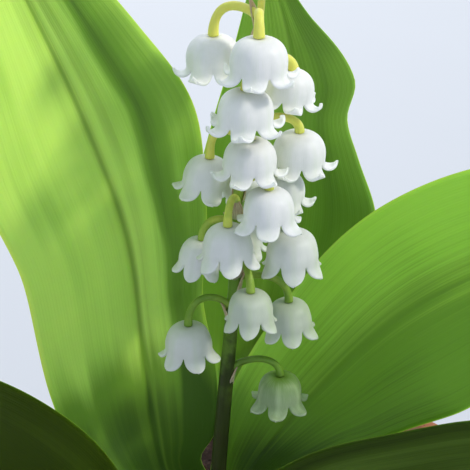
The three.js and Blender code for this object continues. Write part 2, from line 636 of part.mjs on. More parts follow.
// The crowns under the shoots, the rhizome between them and the roots; grown by an offset, it is also the
// cavity that the rootstock leaves in the soil.
function rootstockSolid(grow) {
  const solids = [];
  const hub = vec(...SHOOTS.front.centre, -CROWN_DEPTH - CROWN_THICKNESS / 2);
  const outside = SHEATH_CLEARANCE + SHEATH_WALL + grow;
  const levels = [-CROWN_DEPTH - CROWN_THICKNESS - grow, -CROWN_DEPTH + grow];
  Object.values(SHOOTS).forEach((shoot, index) => {
    const centre = vec(...shoot.centre, hub.z);
    const circles = shootCircles(shoot);
    const crown = levels.map((z) => outlineRound(circles, outside, z, SHEATH_SIDES));
    solids.push(solidOf(loft(crown)));
    if (index > 0) {
      const bow = hub.clone().lerp(centre, 0.5).add(vec(...RHIZOME_BOW[index - 1]));
      const rhizome = new THREE.QuadraticBezierCurve3(hub, bow, centre);
      solids.push(solidOf(tube(rhizome, () => RHIZOME_RADIUS + grow, RHIZOME_SIDES, RHIZOME_STEPS)));
    }
    for (let i = 0; i < ROOTS_PER_CROWN; i++) {
      const angle = (2 * Math.PI * i) / ROOTS_PER_CROWN + ROOT_TURNS[index];
      const reach = vec(Math.cos(angle), Math.sin(angle), 0).multiplyScalar(ROOT_REACHES[index]);
      const knee = centre.clone().addScaledVector(reach, ROOT_KNEE_REACH);
      knee.z -= ROOT_KNEE_DROP * ROOT_DROP;
      const end = centre.clone().multiplyScalar(ROOT_GATHER).add(reach).setZ(centre.z - ROOT_DROP);
      end.addScaledVector(end.clone().sub(knee).normalize(), grow);
      const path = new THREE.QuadraticBezierCurve3(centre, knee, end);
      const radiusAt = (t) => lerp(ROOT_RADIUS, ROOT_TIP_RADIUS, t) + grow;
      solids.push(solidOf(tube(path, radiusAt, ROOT_SIDES, ROOT_STEPS)));
    }
  });
  return fuse(solids);
}

addPiece(shoots, 'rootstock', geometryFrom(rootstockSolid(0)), rootstockSkin);

// ---------------------------------------------------------------- pot and soil

const potBore = (z) => (
  lerp(POT_FLOOR_RADIUS, POT_MOUTH_RADIUS, (z - POT_FLOOR) / (POT_HEIGHT - POT_FLOOR))
);

function potGeometry() {
  const rimFoot = POT_HEIGHT - POT_RIM_HEIGHT;
  const rimFootRadius = POT_RIM_RADIUS - POT_RIM_DRAFT;
  const profile = [
    [0, POT_FLOOR], [POT_FLOOR_RADIUS, POT_FLOOR], [POT_MOUTH_RADIUS, POT_HEIGHT],
    [POT_RIM_RADIUS - POT_EDGE, POT_HEIGHT], [POT_RIM_RADIUS, POT_HEIGHT - POT_EDGE],
    [rimFootRadius, rimFoot], [rimFootRadius - POT_RIM_STEP, rimFoot],
    [POT_FOOT_RADIUS, POT_EDGE], [POT_FOOT_RADIUS - POT_EDGE, 0], [0, 0],
  ];
  const points = profile.reverse().map(([radius, z]) => new THREE.Vector2(radius, z));
  let pot = solidOf(new THREE.LatheGeometry(points, POT_SIDES).rotateX(Math.PI / 2));
  for (let i = 0; i < DRAIN_COUNT; i++) {
    const angle = (2 * Math.PI * (i + DRAIN_TURN)) / DRAIN_COUNT;
    const drain = new THREE.CylinderGeometry(DRAIN_RADIUS, DRAIN_RADIUS, 3 * POT_FLOOR, DRAIN_SIDES);
    drain.rotateX(Math.PI / 2);
    drain.translate(DRAIN_CIRCLE * Math.cos(angle), DRAIN_CIRCLE * Math.sin(angle), POT_FLOOR / 2);
    pot = pot.subtract(solidOf(drain));
  }
  return geometryFrom(pot);
}

addPiece(part, 'pot', potGeometry(), clay);

// The height of the soil's low mounds, in shares of SOIL_BUMP.
const moundAt = (x, y) => (
  Math.sin(MOUND_WAVES[0] * x + MOUND_START) * Math.cos(MOUND_WAVES[1] * y)
  + RIDGE_SHARE * Math.sin(RIDGE_WAVES[0] * x - RIDGE_WAVES[1] * y)
);

function soilRing(radius, z, bump) {
  return Array.from({ length: POT_SIDES }, (_, i) => {
    const angle = (2 * Math.PI * i) / POT_SIDES;
    const [x, y] = [radius * Math.cos(angle), radius * Math.sin(angle)];
    return vec(x, y, z + bump * moundAt(x, y));
  });
}

// The soil fills the pot up to its surface, round the rootstock and the feet of the shoots.
function soilGeometry() {
  const surfaceRadius = potBore(SOIL_HEIGHT) - GAP;
  const sections = [
    soilRing(potBore(POT_FLOOR) - GAP, POT_FLOOR + GAP, 0),
    soilRing(surfaceRadius, SOIL_HEIGHT, 0),
  ];
  for (let i = 1; i < SOIL_RINGS; i++) {
    sections.push(soilRing(surfaceRadius * (1 - i / SOIL_RINGS), SOIL_HEIGHT, SOIL_BUMP));
  }
  const cavity = geometryFrom(rootstockSolid(ROOT_CLEARANCE)).translate(0, 0, SOIL_HEIGHT);
  let soil = solidOf(loft(sections)).subtract(solidOf(cavity));
  const outside = SHEATH_CLEARANCE + SHEATH_WALL + ROOT_CLEARANCE;
  for (const shoot of Object.values(SHOOTS)) {
    const hole = [SOIL_HEIGHT - CROWN_DEPTH, SOIL_HEIGHT + CROWN_DEPTH]
      .map((z) => outlineRound(shootCircles(shoot), outside, z, SHEATH_SIDES));
    soil = soil.subtract(solidOf(loft(hole)));
  }
  return geometryFrom(soil);
}

addPiece(part, 'soil', soilGeometry(), peat);

export default part;
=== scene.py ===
import math
import random
from collections import namedtuple

import bmesh
import bpy
import numpy as np
from mathutils import Euler, Matrix, Vector, noise


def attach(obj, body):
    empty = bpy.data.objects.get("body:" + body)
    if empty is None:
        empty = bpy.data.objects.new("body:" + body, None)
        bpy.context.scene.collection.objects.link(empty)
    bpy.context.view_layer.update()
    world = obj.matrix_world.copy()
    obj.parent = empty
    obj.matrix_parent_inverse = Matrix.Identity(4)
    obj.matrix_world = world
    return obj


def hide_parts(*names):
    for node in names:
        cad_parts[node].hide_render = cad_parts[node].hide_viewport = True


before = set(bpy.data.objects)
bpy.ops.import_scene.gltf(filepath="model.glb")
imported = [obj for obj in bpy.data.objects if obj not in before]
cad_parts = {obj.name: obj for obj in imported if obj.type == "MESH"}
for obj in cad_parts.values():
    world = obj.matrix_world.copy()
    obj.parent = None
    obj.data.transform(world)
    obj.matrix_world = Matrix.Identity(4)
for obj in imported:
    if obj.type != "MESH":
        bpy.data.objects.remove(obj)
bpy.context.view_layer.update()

# The looks of the potted lily of the valley. Shapes are worked out in millimetres, in the row's frame,
# and become metres when a mesh is made.

MM = 0.001
SOIL = 101.0                        # height of the soil surface
ON_SOIL = np.array([0.0, 0.0, SOIL])
SHOOT_FOOT = -13.7                  # the lower ends of stalk, leaves and sheaths, from the soil surface
OUTER_WRAP = 3.8                    # radius of a shoot's outer leaf where it wraps the shoot
INNER_WRAP = 1.95                   # and of its inner leaf
WRAP_ANGLE = math.radians(150)      # half of the turn that a leaf makes round its shoot


# -------------------- small helpers

def lerp(a, b, t):
    return a + (b - a) * t


def smooth(x, low, high):
    """0 up to low, 1 from high on and an S-curve between."""
    t = np.clip((x - low) / (high - low), 0, 1)
    return t * t * (3 - 2 * t)


def unit(v):
    return v / np.linalg.norm(v)


def polar(radius, angle, z=0.0):
    return np.array([radius * math.cos(angle), radius * math.sin(angle), z])


def through(keys, x):
    """The value at x of a smooth curve through (x, value) keys."""
    last = len(keys) - 1
    if x >= keys[last][0]:
        return keys[last][1]
    i = max(0, next(k for k, key in enumerate(keys) if key[0] > x) - 1)

    def slope(k):
        before, after = keys[max(0, k - 1)], keys[min(last, k + 1)]
        return (after[1] - before[1]) / (after[0] - before[0])

    (x0, y0), (x1, y1) = keys[i], keys[i + 1]
    t = (x - x0) / (x1 - x0)
    return (y0 * (1 + 2 * t) * (1 - t) ** 2 + y1 * t * t * (3 - 2 * t)
            + (x1 - x0) * t * (1 - t) * (slope(i) * (1 - t) - slope(i + 1) * t))


class Path:
    """A curve through dense samples, read by the share of its length."""

    def __init__(self, samples):
        self.samples = np.asarray(samples, float)
        steps = np.linalg.norm(np.diff(self.samples, axis=0), axis=1)
        reach = np.concatenate([[0], np.cumsum(steps)])
        self.reach = reach / reach[-1]

    def at(self, u):
        return np.array([np.interp(u, self.reach, self.samples[:, k]) for k in range(3)])

    def along(self, u):
        return unit(self.at(min(u + 2e-3, 1)) - self.at(max(u - 2e-3, 0)))


def spline(points, per_span=50):
    """A centripetal Catmull-Rom curve through the points."""
    p = [np.array(q, float) for q in points]
    p = [2 * p[0] - p[1], *p, 2 * p[-1] - p[-2]]
    samples = []
    for i in range(1, len(p) - 2):
        a, b, c, d = p[i - 1:i + 3]
        first, middle, last = (np.linalg.norm(q - r) ** 0.5 for q, r in ((b, a), (c, b), (d, c)))
        leave = ((b - a) / first - (c - a) / (first + middle) + (c - b) / middle) * middle
        arrive = ((c - b) / middle - (d - b) / (middle + last) + (d - c) / last) * middle
        for t in np.arange(per_span) / per_span:
            samples.append((2 * t**3 - 3 * t**2 + 1) * b + (t**3 - 2 * t**2 + t) * leave
                           + (3 * t**2 - 2 * t**3) * c + (t**3 - t**2) * arrive)
    return Path([*samples, p[-2]])


def bezier(a, b, c, d, steps=60):
    """A cubic Bezier curve from a to d with the handles b and c."""
    t = np.linspace(0, 1, steps + 1)[:, None]
    a, b, c, d = (np.array(q, float) for q in (a, b, c, d))
    return Path((1 - t)**3 * a + 3 * (1 - t)**2 * t * b + 3 * (1 - t) * t**2 * c + t**3 * d)


class Shape:
    """Points in millimetres, faces, a (u, v) pair for each point and a material index for each face."""

    def __init__(self):
        self.points = []
        self.faces = []
        self.uvs = []
        self.slots = []

    def add(self, points, faces, uvs, slot=0):
        start = len(self.points)
        self.points.extend(points)
        self.uvs.extend(uvs)
        self.faces.extend([tuple(start + i for i in face) for face in faces])
        self.slots.extend([slot] * len(faces))

    def piece(self, name, materials, modifiers=(), weld=False):
        mesh = bpy.data.meshes.new(name)
        mesh.from_pydata([tuple(np.asarray(p) * MM) for p in self.points], [], self.faces)
        layer = mesh.uv_layers.new(name="UVMap")
        for loop in mesh.loops:
            layer.data[loop.index].uv = self.uvs[loop.vertex_index]
        mesh.polygons.foreach_set("material_index", self.slots)
        if weld:
            work = bmesh.new()
            work.from_mesh(mesh)
            bmesh.ops.remove_doubles(work, verts=work.verts, dist=2e-6)
            work.to_mesh(mesh)
            work.free()
        mesh.polygons.foreach_set("use_smooth", [True] * len(mesh.polygons))
        made = bpy.data.objects.new(name, mesh)
        bpy.context.scene.collection.objects.link(made)
        for material in materials:
            mesh.materials.append(material)
        for kind, settings in modifiers:
            modifier = made.modifiers.new(kind.lower(), kind)
            for key, value in settings.items():
                setattr(modifier, key, value)
        if modifiers:
            bpy.context.view_layer.update()
            view = bpy.context.evaluated_depsgraph_get()
            final = bpy.data.meshes.new_from_object(made.evaluated_get(view))
            made.modifiers.clear()
            made.data = final
        return made


def grid_faces(rows, columns, closed=False, flip=False):
    """Faces of a grid of rows by columns points; a closed grid joins its last column to its first."""
    faces = []
    for i in range(rows - 1):
        for j in range(columns if closed else columns - 1):
            k = (j + 1) % columns
            face = (i * columns + j, i * columns + k, (i + 1) * columns + k, (i + 1) * columns + j)
            faces.append(face[::-1] if flip else face)
    return faces


def tube_faces(rows, sides, flip=False):
    """Faces of a closed grid with a cap on its first and on its last row."""
    first, last = tuple(range(sides)), tuple(range((rows - 1) * sides, rows * sides))
    caps = [first, last[::-1]] if flip else [first[::-1], last]
    return grid_faces(rows, sides, closed=True, flip=flip) + caps


def slab_faces(rows, columns):
    """Faces of two equal grids, the second under the first, joined round their rim."""
    under = rows * columns
    faces = grid_faces(rows, columns)
    faces += [tuple(under + k for k in face) for face in grid_faces(rows, columns, flip=True)]
    rim = list(range(columns))
    rim += [i * columns + columns - 1 for i in range(1, rows)]
    rim += [(rows - 1) * columns + j for j in range(columns - 2, -1, -1)]
    rim += [i * columns for i in range(rows - 2, 0, -1)]
    return faces + [(b, a, under + a, under + b) for a, b in zip(rim, rim[1:] + rim[:1])]


def ring(radius, sides, z):
    """Points evenly round the Z axis, at a height."""
    return [polar(radius, 2 * math.pi * j / sides, z) for j in range(sides)]


def sweep(shape, path, radius_at, sides, steps, slot=0, ridge=0.0):
    """Adds a tube with flat ends along a path; its v runs from 0 to 1 along it.

    ridge is the height of its three lengthwise ridges, as a share of the radius."""
    points, uvs = [], []
    normal = None
    for i in range(steps + 1):
        u = i / steps
        along = path.along(u)
        if normal is None:
            helper = np.array([0.0, 1.0, 0.0]) if abs(along[1]) < 0.9 else np.array([1.0, 0.0, 0.0])
            normal = unit(np.cross(along, helper))
        normal = unit(normal - along * (normal @ along))
        side = np.cross(along, normal)
        centre = path.at(u)
        for j in range(sides):
            angle = 2 * math.pi * j / sides
            radius = radius_at(u) * (1 + ridge * math.cos(3 * angle))
            points.append(centre + radius * (normal * math.cos(angle) + side * math.sin(angle)))
            uvs.append((j / sides, u))
    shape.add(points, tube_faces(steps + 1, sides), uvs, slot)


def stand_for(piece, slot, *nodes):
    """Puts a piece on the body and in the place of the CAD nodes that it looks like."""
    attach(piece, "root")
    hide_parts(*nodes)


# -------------------- materials

class Paint:
    """A procedural material: its node tree, its principled shader and short ways to add nodes."""

    def __init__(self, name, roughness, **sockets):
        self.material = bpy.data.materials.new(name)
        self.material.use_nodes = True
        self.tree = self.material.node_tree
        self.shader = self.tree.nodes["Principled BSDF"]
        self.shader.inputs["Roughness"].default_value = roughness
        for key, value in sockets.items():
            self.shader.inputs[key.replace("_", " ")].default_value = value
        self.uv = self.node("ShaderNodeUVMap").outputs[0]
        self.place = self.node("ShaderNodeTexCoord").outputs["Object"]

    def split(self, vector):
        return self.node("ShaderNodeSeparateXYZ", {0: vector}).outputs

    def node(self, kind, inputs=None, **settings):
        made = self.tree.nodes.new(kind)
        for key, value in settings.items():
            setattr(made, key, value)
        for key, value in (inputs or {}).items():
            if isinstance(value, bpy.types.NodeSocket):
                self.tree.links.new(value, made.inputs[key])
            else:
                made.inputs[key].default_value = value
        return made

    def math(self, operation, a, b=0.0):
        return self.node("ShaderNodeMath", {0: a, 1: b}, operation=operation).outputs[0]

    def add(self, total, *others):
        for other in others:
            total = self.math("ADD", total, other)
        return total

    def times(self, a, b):
        return self.math("MULTIPLY", a, b)

    def noise(self, scale, detail=4.0, vector=None, roughness=0.55):
        inputs = {"Vector": vector or self.place, "Scale": scale, "Detail": detail, "Roughness": roughness}
        return self.node("ShaderNodeTexNoise", inputs).outputs[0]

    def grain(self, vector, scale, detail=3.0):
        """Noise that is drawn out by unequal scales."""
        mapping = self.node("ShaderNodeMapping", {"Vector": vector, "Scale": scale})
        return self.noise(1.0, detail, mapping.outputs[0])

    def range(self, value, low, high, to_low=0.0, to_high=1.0):
        inputs = {0: value, 1: low, 2: high, 3: to_low, 4: to_high}
        return self.node("ShaderNodeMapRange", inputs, interpolation_type="SMOOTHSTEP").outputs[0]

    def mix(self, factor, a, b, blend="MIX"):
        colour = [(*c, 1.0) if isinstance(c, tuple) else c for c in (a, b)]
        inputs = {0: factor, 6: colour[0], 7: colour[1]}
        return self.node("ShaderNodeMix", inputs, data_type="RGBA", blend_type=blend).outputs[2]

    def bump(self, height, distance):
        inputs = {"Height": height, "Distance": distance, "Strength": 1.0}
        return self.node("ShaderNodeBump", inputs).outputs[0]

    def done(self, colour, normal=None, roughness=None):
        self.tree.links.new(colour, self.shader.inputs["Base Color"])
        if normal:
            self.tree.links.new(normal, self.shader.inputs["Normal"])
        if roughness:
            self.tree.links.new(roughness, self.shader.inputs["Roughness"])
        return self.material


LEAF_VEINS = 13                     # on each half of a blade
# Where a blade's tone changes, as shares of its width from the left or of its length from the foot. The
# dark strip on the right half and the deeper foot are painted shade; the pale foot is the leaf's own
# colour.
SHADE_BAND_BEGINS, SHADE_BAND_ENDS = (0.69, 0.77), (0.8, 0.91)
SHADE_BAND_FADES = 0.65                   # share of the band's depth that is gone beyond it
FOOT_SHADE_SPAN = (0.46, 0.31)
FOOT_PALES = (0.17, 0.09)
PALE_FOOT = (0.42, 0.44, 0.2)
# The same, as shares of each half from the midrib to the margin.
# The dark line along the midrib is painted crease shade.
MIDRIB_SHADE_ENDS = 0.1
MARGIN = (0.984, 1.0)


def leaf_paint(name, tones, gloss, base, right, turn, foot, shade_band, midrib, streaks, veins):
    """A leaf with arching parallel veins, painted crease shade along its midrib and a thin pale margin.

    tones are its deep, middle and bright colour, and base is its tone from 0, deep, to 1, bright. right
    says how much painted shade deepens the right half, and turn over which share of the width it deepens;
    a negative right paints that part lighter. foot and the next two say how much painted shade deepens
    the foot, a strip along the right half and the midrib; a negative foot paints the foot lighter. streaks
    says how far long soft streaks vary the tone, and veins how plain the veins are."""
    deep, middle, bright = tones
    paint = Paint(name, 0.45, Subsurface_Weight=0.5, Subsurface_Scale=0.0011,
                  Subsurface_Radius=(0.7, 1.0, 0.15), Specular_IOR_Level=gloss)
    across, along, _ = paint.split(paint.uv)
    half = paint.math("ABSOLUTE", paint.math("SUBTRACT", paint.times(across, 2.0), 1.0))
    wave = paint.math("SINE", paint.times(half, 2 * math.pi * LEAF_VEINS))
    fine = paint.math("SINE", paint.times(half, 6 * math.pi * LEAF_VEINS))
    fibres = paint.grain(paint.uv, (150.0, 5.0, 1.0))
    long = paint.grain(paint.uv, (6.5, 1.7, 1.0), 1.0)
    blotches = paint.noise(30.0, 2.0)
    cells = paint.noise(2600.0, 2.0)
    edge = paint.add(across, paint.range(blotches, 0.3, 0.7, -0.03, 0.03))
    tone = paint.add(
        paint.range(fibres, 0.3, 0.7, base - 0.06 * veins, base + 0.06 * veins),
        paint.times(wave, 0.03 * veins),
        paint.times(fine, 0.015 * veins),
        paint.range(blotches, 0.3, 0.7, -0.08, 0.08),
        paint.range(long, 0.38, 0.62, -streaks, 0.3 * streaks),
        # Painted shade: a deeper right half, a dark strip along it, a deeper foot and a dark midrib
        # crease. Negative amounts paint light instead.
        paint.range(across, *turn, 0.0, -right),
        paint.range(edge, *SHADE_BAND_BEGINS, 0.0, -shade_band),
        paint.range(edge, *SHADE_BAND_ENDS, 0.0, SHADE_BAND_FADES * shade_band),
        paint.range(along, *FOOT_SHADE_SPAN, 0.0, -foot),
        paint.range(half, MIDRIB_SHADE_ENDS, 0.0, 0.0, -midrib))
    colour = paint.mix(paint.range(tone, 0.0, 0.5), deep, middle)
    colour = paint.mix(paint.range(tone, 0.5, 1.0), colour, bright)
    colour = paint.mix(paint.range(half, *MARGIN, 0.0, 0.6), colour, bright)
    colour = paint.mix(paint.range(along, *FOOT_PALES, 0.0, 0.75), colour, PALE_FOOT)
    height = paint.add(paint.times(wave, 0.3), paint.times(fine, 0.15), fibres, paint.times(cells, 0.35))
    return paint.done(colour, paint.bump(height, 0.00003), paint.range(fibres, 0.3, 0.7, 0.4, 0.54))


# -------------------- leaves

SHOOT_CENTRES = {"front": (-4.0, 7.0), "rear": (5.6, 34.0), "side": (-1.0, -23.0)}
# foot, blade and tip are the ways in which the upper face looks there. keel is the midrib, from the soil
# surface up. left and right are (share of the length, half width). fold and edge are how steeply, in
# degrees, a half rises at the midrib and at the margin. open is where along it the wrapped leaf opens.
LEAVES = {
    "leaf_left": dict(
        shoot="front", wrap=OUTER_WRAP, foot=(1, 0, 0), blade=(0.25, -1, 0.15), tip=(0.45, -1, 0.1),
        keel=[(-9.4, 7.8, 17), (-13.6, 9, 30), (-16, 10.5, 52), (-17.8, 10, 76), (-22.8, 6.5, 97),
              (-29, -1, 119), (-38, -12, 146)],
        left=[(0.2, 8.6), (0.28, 13), (0.34, 16.6), (0.42, 18.6), (0.55, 19.5), (0.7, 19.5), (0.85, 12),
              (1, 0.6)],
        right=[(0.2, 9.4), (0.26, 7.6), (0.295, 11), (0.34, 12.4), (0.4, 12.4), (0.48, 11.2), (0.57, 14),
               (0.67, 16.8), (0.76, 13.2), (0.88, 7.1), (1, 0.6)],
        fold=24, edge=8, open=(0.09, 0.34), ripple=0.8, waves=1.6, phase=0.1),
    "leaf_right": dict(
        shoot="front", wrap=INNER_WRAP, foot=(-1, 0, 0), blade=(-0.5, -0.85, 0.35), tip=(-0.35, -0.7, 0.6),
        keel=[(-1, 6.6, 18), (1.8, 5.6, 28), (7.6, 5.8, 38), (17.1, 6.8, 50.2), (29.6, 3.6, 66),
              (46, -5, 81), (71, -20, 96)],
        left=[(0.24, 5.6), (0.32, 9), (0.4, 13), (0.5, 15.6), (0.66, 17.4), (0.82, 13.4), (1, 0.6)],
        right=[(0.24, 5.2), (0.32, 5.5), (0.4, 9), (0.5, 14.8), (0.65, 19), (0.82, 13), (1, 0.6)],
        fold=24, edge=6, open=(0.19, 0.42), ripple=0.8, waves=1.4, phase=0.3),
    "leaf_back": dict(
        shoot="rear", wrap=OUTER_WRAP, foot=(1, -0.3, 0), blade=(0.15, -1, 0.05), tip=(0.1, -1, 0.15),
        keel=[(1.6, 35, 20), (4.6, 34.5, 43), (9, 33, 72), (10, 30, 100), (4.6, 26, 121)],
        left=[(0.22, 9.4), (0.4, 13), (0.6, 17), (0.75, 15.5), (0.88, 10.5), (1, 0.6)],
        right=[(0.22, 9.4), (0.4, 14), (0.58, 18.2), (0.64, 17), (0.71, 12.6), (0.76, 10), (0.81, 11),
               (0.9, 4.2), (1, 0.6)],
        fold=16, edge=0, open=(0.1, 0.38), ripple=1.2, waves=2.4, phase=0.55),
    "leaf_rear": dict(
        shoot="rear", wrap=INNER_WRAP, foot=(-1, 0.3, 0), blade=(-0.1, -1, 0.4), tip=(-0.3, -0.4, 0.9),
        keel=[(7.7, 33, 11), (8.6, 29.8, 20), (11.5, 25.4, 30), (19, 23, 41), (34, 26, 52), (56, 35, 57)],
        left=[(0.28, 5), (0.45, 8.5), (0.65, 12.5), (0.85, 9), (1, 0.6)],
        right=[(0.28, 5.6), (0.45, 11.5), (0.65, 14.5), (0.85, 9), (1, 0.6)],
        fold=20, edge=4, open=(0.24, 0.5), ripple=0.8, waves=1.3, phase=0.2),
    "leaf_low_left": dict(
        shoot="side", wrap=OUTER_WRAP, foot=(1, 0, 0), blade=(0.55, -0.4, 0.7), tip=(0.2, -0.3, 0.9),
        keel=[(-7.2, -23.4, 14), (-13, -25.5, 25.5), (-23.5, -27.7, 41), (-33, -29.5, 54.5),
              (-45, -32, 67), (-60, -37, 76)],
        left=[(0.2, 9.4), (0.4, 13), (0.62, 17), (0.82, 12), (1, 0.6)],
        right=[(0.2, 9.4), (0.4, 10.2), (0.62, 15.6), (0.82, 12.5), (1, 0.6)],
        fold=22, edge=4, open=(0.12, 0.4), ripple=0.9, waves=1.5, phase=0.4),
    "leaf_low_right": dict(
        shoot="side", wrap=INNER_WRAP, foot=(-1, 0, 0), blade=(-0.5, -0.5, 0.7), tip=(-0.1, -0.5, 0.9),
        keel=[(1.9, -23.4, 16), (5.6, -23, 27), (16, -21, 37.5), (32, -22.5, 44.2), (51, -28, 49.5),
              (75, -37, 47)],
        left=[(0.24, 5.6), (0.3, 9.2), (0.35, 14.8), (0.4, 15.8), (0.47, 14.8), (0.56, 13.9), (0.68, 14.2),
              (0.82, 12.4), (1, 0.6)],
        right=[(0.24, 5.6), (0.38, 12), (0.55, 16.5), (0.8, 12), (1, 0.6)],
        fold=22, edge=4, open=(0.2, 0.44), ripple=0.9, waves=1.4, phase=0.7),
}
LEAF_ROWS = 120
LEAF_COLUMNS = 80
BLADE_THICKNESS = 0.5
MIDRIB_THICKNESS = 1.25


def leaf_shape(leaf):
    """A blade that wraps its shoot at the foot and opens upwards, with a midrib and rippled margins."""
    at_foot = unit(np.array(leaf["foot"], float))
    at_blade = unit(np.array(leaf["blade"], float))
    x, y = (SHOOT_CENTRES[leaf["shoot"]][k] - leaf["wrap"] * at_foot[k] for k in range(2))
    keel = spline([(x, y, SHOOT_FOOT), (x, y, -4), (x, y, 5), *leaf["keel"]])
    wrap_half = leaf["wrap"] * WRAP_ANGLE
    upper, lower, uvs = [], [], []
    for i in range(LEAF_ROWS + 1):
        u = i / LEAF_ROWS
        opened = smooth(u, *leaf["open"])
        along = keel.along(u)
        facing = lerp(at_foot, at_blade, opened)
        facing = lerp(facing, np.array(leaf["tip"], float), smooth(u, 0.4, 1))
        facing = unit(facing - along * (facing @ along))
        across = np.cross(along, facing)
        fold = lerp(0, math.radians(leaf["fold"]), opened)
        edge = lerp(WRAP_ANGLE, math.radians(leaf["edge"]), opened)
        point = keel.at(u) + ON_SOIL
        for j in range(LEAF_COLUMNS + 1):
            share = 2 * j / LEAF_COLUMNS - 1
            v = math.copysign(math.sin(abs(share) * math.pi / 2) ** 0.9, share)
            keys = leaf["left"] if v < 0 else leaf["right"]
            if u < keys[0][0]:
                half = lerp(wrap_half, keys[0][1], smooth(u, keys[0][0] / 2, keys[0][0]))
            else:
                half = through(keys, u)
            half *= 1 - 0.85 * smooth(u, 0.965, 1)
            angle = lerp(fold, edge, abs(v))
            if abs(edge - fold) < 1e-3:
                out, up = abs(v) * half * math.cos(fold), abs(v) * half * math.sin(fold)
            else:
                radius = half / (edge - fold)
                out = radius * (math.sin(angle) - math.sin(fold))
                up = radius * (math.cos(fold) - math.cos(angle))
            turn = 2 * math.pi * (leaf["waves"] * u + leaf["phase"] + 0.25 * v)
            lift = math.sin(turn) * leaf["ripple"] * v * v * opened * min(1, 6 * (1 - u))
            side = -1 if v < 0 else 1
            at = point + across * side * out + facing * (up + lift)
            normal = facing * math.cos(angle) - across * side * math.sin(angle)
            rib = lerp(MIDRIB_THICKNESS, BLADE_THICKNESS, min(1, max(3 * abs(v), 5 * u - 4)))
            thickness = rib * (1 - 0.8 * smooth(abs(v), 0.95, 1))
            upper.append(at + normal * thickness / 2)
            lower.append(at - normal * thickness / 2)
            uvs.append((0.5 + 0.5 * v, u))
    shape = Shape()
    shape.add(upper + lower, slab_faces(LEAF_ROWS + 1, LEAF_COLUMNS + 1), uvs + uvs)
    return shape


# The deep, middle and bright colour of each kind of leaf. SHADED is a much darker set, painted shade for
# the low leaves that stand in shade.
FRESH = ((0.07, 0.165, 0.012), (0.21, 0.41, 0.035), (0.59, 0.86, 0.15))
GLOSSY = ((0.05, 0.115, 0.008), (0.18, 0.39, 0.025), (0.42, 0.76, 0.07))
SHADED = ((0.018, 0.035, 0.001), (0.04, 0.075, 0.004), (0.08, 0.14, 0.015))
# The amounts of right, foot, the dark strip and midrib are painted shade. The negative foot of leaf_back
# paints its foot lighter, and the negative right of leaf_low_right paints its blade lighter beyond a strip
# of painted shade along its left margin.
LEAF_TONES = {
    "leaf_left": dict(tones=FRESH, gloss=0.3, base=1.0, right=0.08, turn=(0.5, 0.58), foot=0.66, shade_band=0.58,
                      midrib=0.4, streaks=0.15, veins=0.35),
    "leaf_right": dict(tones=GLOSSY, gloss=0.25, base=1.0, right=0.55, turn=(0.1, 0.85), foot=0.62,
                       shade_band=0.0, midrib=0.15, streaks=0.08, veins=0.9),
    "leaf_back": dict(tones=FRESH, gloss=0.3, base=0.5, right=0.12, turn=(0.5, 0.7), foot=-0.3, shade_band=0.1,
                      midrib=0.1, streaks=0.05, veins=0.15),
    "leaf_rear": dict(tones=FRESH, gloss=0.3, base=0.5, right=0.15, turn=(0.5, 0.7), foot=0.0, shade_band=0.0,
                      midrib=0.3, streaks=0.15, veins=0.5),
    "leaf_low_left": dict(tones=SHADED, gloss=0.05, base=0.15, right=0.0, turn=(0.5, 0.7), foot=0.2,
                          shade_band=0.0, midrib=0.1, streaks=0.2, veins=0.5),
    "leaf_low_right": dict(tones=SHADED, gloss=0.1, base=0.3, right=-0.55, turn=(0.05, 0.12), foot=0.2,
                           shade_band=0.0, midrib=0.1, streaks=0.2, veins=0.8),
}
for name, leaf in LEAVES.items():
    skin = leaf_paint(name, **LEAF_TONES[name])
    stand_for(leaf_shape(leaf).piece(name + "_blade", [skin]), "leaf", name)


# -------------------- flowers

STALK_FOOT = (-4.4, -0.2)
STALK = spline([(*STALK_FOOT, SHOOT_FOOT), (-4, -0.2, 8), (-2.8, 0.2, 36), (-0.7, 0, 63.5),
                (0, 0.5, 72.5), (0.4, 0.8, 86), (1.8, 0.5, 101), (3.3, -0.5, 114), (4, -1.5, 124),
                (3.8, -3.4, 135)])

